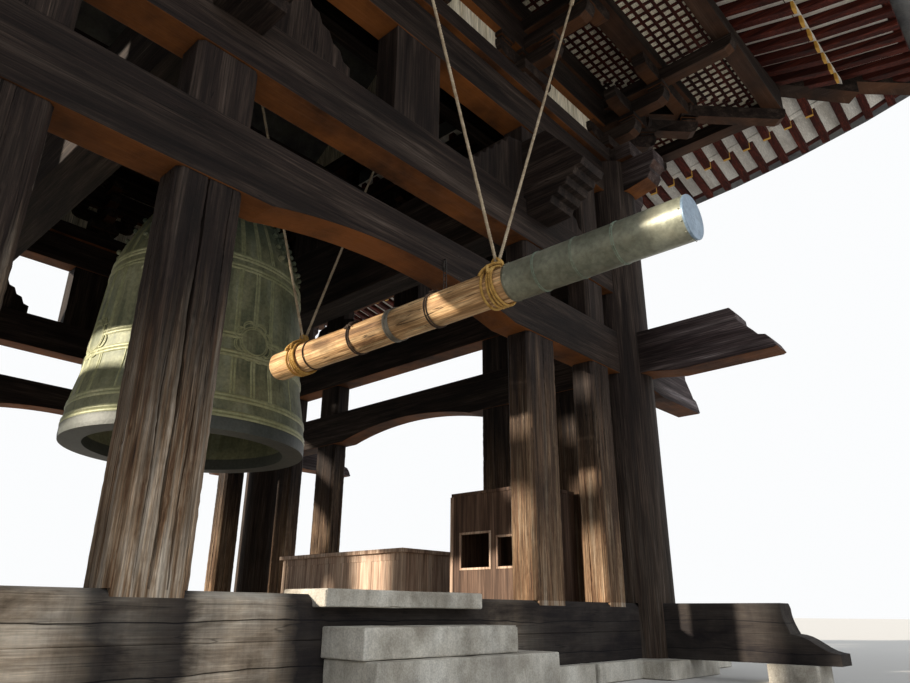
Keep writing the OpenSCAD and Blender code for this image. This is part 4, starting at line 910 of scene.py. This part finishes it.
bandParts, lashParts = [wrap(striker["bandR"], y, 0.0065, 49) for y in striker["bands"]], []
for y in (striker["nearY"], striker["farY"]):
    for n, off in enumerate(striker["lashTurns"]):
        a = circle(61)
        lean = 0.012 * np.sin(a + n)
        lashParts.append(laidRope(aroundLog(striker["lashR"], y + off + lean, a), 0.0115, 0.065))
    for off in (-striker["crossed"], striker["crossed"]):  # turns that carry the ropes
        a = np.linspace(0.25, math.pi - 0.25, 25)
        crossing = aroundLog(striker["crossR"], y + off * np.cos(2 * a), a, 0.01)
        lashParts.append(laidRope(crossing, 0.013, 0.07))
    for k in (-1, 0, 1):  # turns round the pin
        ring = ringAcross(sx + k * 0.022, y, striker["pinLow"] - 0.022, 0.038, 0.052, circle(25))
        lashParts.append(laidRope(ring, 0.012, 0.06))
for y, a in striker["knots"]:  # short tied ends that stand off the log
    out, side = np.array((math.cos(a), 0, math.sin(a))), np.array((-math.sin(a), 0, math.cos(a)))
    c = np.array((sx, y, sz)) + out * 0.160
    for turn in striker["knotTurns"]:
        way = (side * math.cos(turn) + np.array((0, 1, 0)) * math.sin(turn)) * 0.055
        bandParts.append(tube([c - way + out * 0.002, c + out * 0.006, c + way + out * 0.002], 0.0065, 6))
makePiece("logBands", bandParts, darkLash, "striker", True)
hoopEdges = (striker["hoopY"] - striker["hoopHalf"], striker["hoopY"] + striker["hoopHalf"])
hoopParts = [wrap(striker["bandR"], y, 0.0045, 73) for y in hoopEdges]
hoopRings = [aroundLog(r, striker["hoopY"] + off) for r, off in striker["hoop"]]
hoopParts.append(skin(hoopRings, True, False))
makePiece("logHoop", hoopParts, hoopMetal, "striker", True)
makePiece("ropeLashings", lashParts, goldRope, "striker", True)

for name, body, y, spread in (("twistedRopesNear", "near_ropes", striker["nearY"], striker["nearSpread"]),
                              ("twistedRopesFar", "far_ropes", striker["farY"], striker["farSpread"])):
    parts = []
    for s in (-1, 1):
        low = np.array((sx + s * 0.014, y, striker["pinLow"]))
        high = np.array((sx + s * spread, y, striker["pinHigh"]))
        way = (high - low) / np.linalg.norm(high - low)
        parts.append(laidRope([low, (low + high) / 2, high], striker["ropeR"], 0.075))
        parts.append(laidRope(ringAcross(high[0], y, high[2], 0.026, 0.026, circle(25, -0.6)), 0.011, 0.06))
        a, side = circle(17)[:, None], np.cross(way, (0, 1, 0))
        for n in range(5):  # whipping under each eye
            ring = high - way * (0.06 + 0.02 * n) + 0.019 * (np.cos(a) * side + np.sin(a) * (0, 1, 0))
            parts.append(tube(ring, 0.008, 5, False))
    makePiece(name, parts, straw, body, True, [body])

# iron staple with four links and two straps on the face of the front tie
hook = dict(x=0.364, face=-3.95, z=3.545, links=4, link=0.082, wide=0.017, thick=0.0045,
            straps=(0.566, 0.604), strapLow=3.44, strapHigh=3.70)
x, face, z, wide = hook["x"], hook["face"], hook["z"], hook["wide"]
plateY = (face - 0.005, face)
a = circle(21)
hookParts = [block((x - 0.022, x + 0.022), plateY, (z - 0.02, z + 0.045)),
             tube(ringAcross(x, face - 0.018, z, 0.020, 0.020, a), 0.005, 8, False)]
for n in range(hook["links"]):
    up = z - 0.045 - n * (hook["link"] - 0.016) + np.clip(np.sin(a) * 1.3, -1, 1) * hook["link"] / 2
    across, turn = wide * np.cos(a), n % 2
    path = np.stack([x + across * (1 - turn), face - 0.028 + across * turn, up], 1)
    hookParts.append(tube(path, hook["thick"], 6, False))
for x in hook["straps"]:
    hookParts.append(block((x - 0.007, x + 0.007), plateY, (hook["strapLow"], hook["strapHigh"])))
    for z in (hook["strapLow"] + 0.02, hook["strapHigh"] - 0.02):
        hookParts.append(tube([(x, face - 0.011, z), (x, face - 0.001, z)], 0.006, 8))
makePiece("tieHook", hookParts, iron)
print("striker hung")


# roof tiles: round cover tiles in rows with hollow tiles between
tiles = dict(pitch=0.30, course=0.285, coverR=0.075, lift=0.018, hollow=0.02, over=0.006, hipGap=0.18,
             discR=0.088, drip=((0, 0.02, 0), (0.012, -0.035, 0), (0.012, -0.085, 0.75)),
             disc=((0.3, -0.01), (1.0, -0.01), (1.0, 0.028), (0.86, 0.032), (0.80, 0.020), (0.42, 0.020),
                   (0.34, 0.028), (0.02, 0.032)))
roof = dict(eave=7.6, z=7.8, slope=0.38, curve=0.0293, gable=3.95, liftEnd=7.3, lift=0.68, power=3.15,
            verge=3.6, gableEnd=4.1, vergeEnd=4.3, ridgeHalf=0.17, ridgeTop=13.0)
alongEave, straightUp = np.array((1.0, 0, 0)), np.array((0, 0, 1.0))


def roofProfile(u):
    d = roof["eave"] - np.asarray(u, float)
    return roof["z"] + roof["slope"] * d + roof["curve"] * d * d


# height at s along the eave and u out from the middle; the corners lift
def roofHeight(s, u):
    w = np.clip((np.asarray(u, float) - roof["gable"]) / (roof["liftEnd"] - roof["gable"]), 0, 1)
    return roofProfile(u) + roof["lift"] * (np.abs(s) / roof["eave"]) ** roof["power"] * np.sqrt(w)


# place on the front slope, with the way up the slope and the way out of it
def slopeFrame(s, u):
    e = 0.01
    rise = (roofHeight(s, u - e) - roofHeight(s, u + e)) / (2 * e)
    up = np.array((0, 1, rise)) / math.hypot(1, rise)
    return np.array((s, -u, float(roofHeight(s, u)))), up, np.array((0, -up[2], up[1]))


# a row of tiles ends at the ridge, under the verge, or at the hip
def rowTop(s, gabled):
    if gabled and abs(s) < roof["gableEnd"]:
        return roof["ridgeHalf"] + 0.02
    low = roof["verge"] + 0.05 if gabled and abs(s) < roof["vergeEnd"] else roof["gable"] + 0.02
    return max(abs(s) + tiles["hipGap"], low)


def coverArc(at, radius, up):
    place, _, out = at
    middle = place + out * (tiles["lift"] + up)
    return [middle + radius * (alongEave * math.cos(a) + out * math.sin(a))
            for a in np.linspace(-0.15, math.pi + 0.15, 8)]


def coverRow(s, gabled):
    covers, discs, top, r = [], [], rowTop(s, gabled), tiles["coverR"]
    for k, u in enumerate(np.arange(roof["eave"] + tiles["over"], top, -tiles["course"])):
        low, high = slopeFrame(s, u), slopeFrame(s, max(u - tiles["course"], top))
        covers.append(skin([coverArc(low, r - 0.012, -0.004), coverArc(low, r + 0.004, 0.012),
                            coverArc(high, r - 0.003, 0)], False, False))
        if k == 0:  # round end tile
            place, up, out = low
            profile = [(wide * tiles["discR"], high) for wide, high in tiles["disc"]]
            discs.append(stud(place + out * (tiles["lift"] + 0.032), -up, alongEave, out, profile, 16))
    return covers, discs


def hollowRow(s, gabled):
    pans, top, half = [], rowTop(s, gabled), tiles["pitch"] / 2
    across = np.linspace(-1, 1, 7)
    for k, u in enumerate(np.arange(roof["eave"] + tiles["over"], top, -tiles["course"])):
        rows = []
        for away, up in ((u, -0.004), (u, 0.026), (max(u - tiles["course"] - 0.01, top - 0.05), 0.0)):
            frames = [slopeFrame(s + q * half, away) for q in across]
            rows.append([place + out * (tiles["lift"] + up + tiles["hollow"] * q * q)
                         for (place, _, out), q in zip(frames, across)])
        pans.append(skin(rows, False, False))
        if k == 0:  # drip plate that hangs from the lowest hollow tile
            rows = []
            for out, drop, curve in tiles["drip"]:
                hang = tiles["lift"] + drop * (1 - curve * across ** 2) + tiles["hollow"] * across ** 2
                rows.append([slopeFrame(s + q * half, u)[0] + (0, -out, z) for q, z in zip(across, hang)])
            pans.append(skin(rows, False, False))
    return pans


count = int((roof["eave"] - 0.12) / tiles["pitch"])
for side, gabled, quarters in (("Front", True, 0), ("Back", True, 2),
                               ("Right", False, 1), ("Left", False, 3)):
    covers, discs, pans = [], [], []
    for s in np.arange(-count, count + 1) * tiles["pitch"]:
        rowCovers, rowDiscs = coverRow(s, gabled)
        covers += rowCovers
        discs += rowDiscs
    for s in np.arange(-count, count) * tiles["pitch"] + tiles["pitch"] / 2:
        pans += hollowRow(s, gabled)
    makePiece("coverTiles" + side, [turned(join(covers + discs), quarters)], tileClay)
    makePiece("hollowTiles" + side, [turned(join(pans), quarters)], tileClay)
print("roof tiled")

# ridges: courses of flat tiles under a row of round caps, with plain shield tiles at the ends
ridge = dict(course=0.052, piece=0.36, capPiece=0.30, cap=0.075, step=0.012, joint=0.002, flare=0.006,
             mainEnd=4.36, mainHalf=0.175, hipLow=7.50, hipHigh=4.0, hipTop=3.87, hipHalf=0.125, hipTall=0.30,
             vergeX=4.22, vergeLow=3.55, vergeHigh=0.45, vergeHalf=0.105, vergeTall=0.26, shieldMiddle=0.45,
             shield=((1.0, 0), (1.0, 0.75), (0.93, 1), (0.80, 1), (0.76, 0.62), (0.30, 0.62), (0.22, 1.15),
                     (0.02, 1.3)))
shieldOutline = [(-0.5, 0), (-0.62, 0.16), (-0.5, 0.34), (-0.40, 0.42), (-0.42, 0.62), (-0.30, 0.84),
                 (-0.12, 0.97), (0, 1.0)]
shieldOutline += [(-a, b) for a, b in shieldOutline[-2::-1]]


def levelSide(way):
    return np.array((way[1], -way[0], 0)) / math.hypot(way[0], way[1])


def ridgeRun(path, half, height, own):
    parts = []
    path = np.asarray(path, float)
    length = pathLengths(path)
    full = length[-1]
    count = int((height - ridge["cap"] * 0.9) / ridge["course"])
    rest = (height - ridge["cap"] * 0.9) / count
    for k in range(count):
        odd = k % 2
        marks = np.arange(-ridge["piece"] + odd * ridge["piece"] / 2, full + ridge["piece"], ridge["piece"])
        marks = np.unique(np.clip(marks, 0, full))
        for a, b in zip(marks[:-1], marks[1:]):
            if b - a < 0.03:
                continue
            ends = alongPath(path, length, np.array((a + ridge["joint"], b - ridge["joint"])))
            side = levelSide(ends[1] - ends[0])
            wide = half + ridge["step"] * (odd - k / count) - 0.02 + own.uniform(-0.002, 0.002)
            corners = []
            for w, z in ((wide, k * rest + 0.001), (wide + ridge["flare"], (k + 1) * rest)):
                for end, way in ((0, -1), (0, 1), (1, 1), (1, -1)):
                    corners.append(ends[end] + side * way * w + straightUp * z)
            parts.append((corners, boxFaces))
    for a in np.arange(0, full, ridge["capPiece"]):
        b = min(a + ridge["capPiece"], full)
        if b - a < 0.05:
            continue
        rings = []
        for q, r in ((a, ridge["cap"]), (b - 0.004, ridge["cap"] - 0.010)):
            middle = alongPath(path, length, q) + straightUp * (height - ridge["cap"])
            before, after = alongPath(path, length, np.array((max(q - 0.05, 0), min(q + 0.05, full))))
            side = levelSide(after - before)
            rings.append([middle + r * (side * math.cos(t) + straightUp * math.sin(t) * 0.98)
                          for t in np.linspace(-0.2, math.pi + 0.2, 9)])
        parts.append(skin(rings))
    return parts


# shield tile at a ridge's foot: the outline grows and shrinks as it is pushed outwards
def shieldTile(foot, out, width, height, thick):
    out = out / np.linalg.norm(out)
    side, middle, rings = levelSide(out), ridge["shieldMiddle"], []
    for grow, push in ridge["shield"]:
        rings.append([foot + side * a * width * grow + straightUp * ((b - middle) * grow + middle) * height
                      + out * push * thick for a, b in shieldOutline[::-1]])
    return skin(rings)


own = np.random.default_rng(31)
mainLow = float(roofProfile(roof["ridgeHalf"])) + 0.01
mainHigh = roof["ridgeTop"] - 0.006 - mainLow
mainEnds = np.array([(-ridge["mainEnd"], 0, mainLow), (ridge["mainEnd"], 0, mainLow)])
ridgeParts = ridgeRun(mainEnds, ridge["mainHalf"], mainHigh, own)
for end, way in zip(mainEnds, (-1, 1)):
    ridgeParts.append(shieldTile(end - (way * 0.005, 0, 0.16), np.array((way, 0, 0)),
                                 0.52, mainHigh + 0.15, 0.05))
makePiece("mainRidge", ridgeParts, tileClay, stands=["roof_ridges"])
hipOut = np.array((*np.linspace(ridge["hipLow"], ridge["hipHigh"], 18), ridge["hipTop"]))
hipPath = np.stack([hipOut, hipOut, roofHeight(hipOut, hipOut) - 0.01], 1)
foot = ridge["hipLow"] + 0.01
hipFoot = (foot, foot, float(roofHeight(foot, foot)) - 0.02)
vergeOut = np.linspace(ridge["vergeLow"], ridge["vergeHigh"], 14)
vergePath = np.stack([ridge["vergeX"] + 0 * vergeOut, vergeOut, roofProfile(vergeOut) - 0.01], 1)
vergeFoot = vergePath[0] - (0, 0, 0.02)
for name, node, kind, path, foot, out, shield in (
        ("hipRidges", "hip_ridges", "hip", hipPath, hipFoot, (1, 1, 0), (0.28, 0.40, 0.045)),
        ("vergeRidges", "verge_ridges", "verge", vergePath, vergeFoot, (0, 1, 0), (0.26, 0.34, 0.045))):
    ridgeParts = []
    for corner in ((-1, -1, 1), (-1, 1, 1), (1, -1, 1), (1, 1, 1)):
        ridgeParts += ridgeRun(path * corner, ridge[kind + "Half"], ridge[kind + "Tall"], own)
        ridgeParts.append(shieldTile(np.array(foot) * corner, np.array(out) * corner, *shield))
    makePiece(name, ridgeParts, tileClay, stands=[node])
print("ridges laid")

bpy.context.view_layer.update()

# floor, backdrop colour and light
half = 150
floorMesh = bpy.data.meshes.new("studioFloor")
floorCorners = [(x, y, -0.004) for x, y in ((-half, -half), (half, -half), (half, half), (-half, half))]
floorMesh.from_pydata(floorCorners, [], [(0, 1, 2, 3)])
floor = bpy.data.objects.new("studioFloor", floorMesh)
bpy.context.scene.collection.objects.link(floor)
paleFloor, tree, surface = startMaterial("paleFloor", 0.9)
surface.inputs["Base Color"].default_value = (0.61, 0.59, 0.56, 1)
floorMesh.materials.append(paleFloor)

world = bpy.data.worlds.new("softSky")
bpy.context.scene.world = world
world.use_nodes = True
tree = world.node_tree
tree.nodes.clear()
rays = add(tree, "LightPath").outputs
mirrored = calc(tree, "MAXIMUM", rays["Is Glossy Ray"], rays["Is Transmission Ray"])
seen = calc(tree, "MAXIMUM", rays["Is Camera Ray"], mirrored)
glow = add(tree, "Background", {0: (0.90, 0.95, 1.0, 1), 1: 0.68})
plain = add(tree, "Background", {0: (0.97, 0.98, 0.99, 1), 1: 1.0})
mixed = add(tree, "MixShader", {0: seen, 1: glow.outputs[0], 2: plain.outputs[0]})
add(tree, "OutputWorld", {0: mixed.outputs[0]})

lamps = [dict(name="lowSun", power=8.0, colour=(1.0, 0.90, 0.76), heading=116, height=15, size=2.0),
         dict(name="softFill", power=0.68, colour=(0.90, 0.95, 1.0), heading=20, height=38, size=50.0)]
for lamp in lamps:  # heading is the way the light travels, from +Y towards +X
    data = bpy.data.lights.new(lamp["name"], "SUN")
    data.energy = lamp["power"]
    data.color = lamp["colour"]
    data.angle = math.radians(lamp["size"])
    made = bpy.data.objects.new(lamp["name"], data)
    h, e = math.radians(lamp["heading"]), math.radians(lamp["height"])
    travel = Vector((math.sin(h) * math.cos(e), math.cos(h) * math.cos(e), -math.sin(e)))
    made.rotation_euler = travel.to_track_quat("-Z", "Y").to_euler()
    bpy.context.scene.collection.objects.link(made)
bpy.context.scene.view_settings.view_transform = "Standard"
print("stage lit")
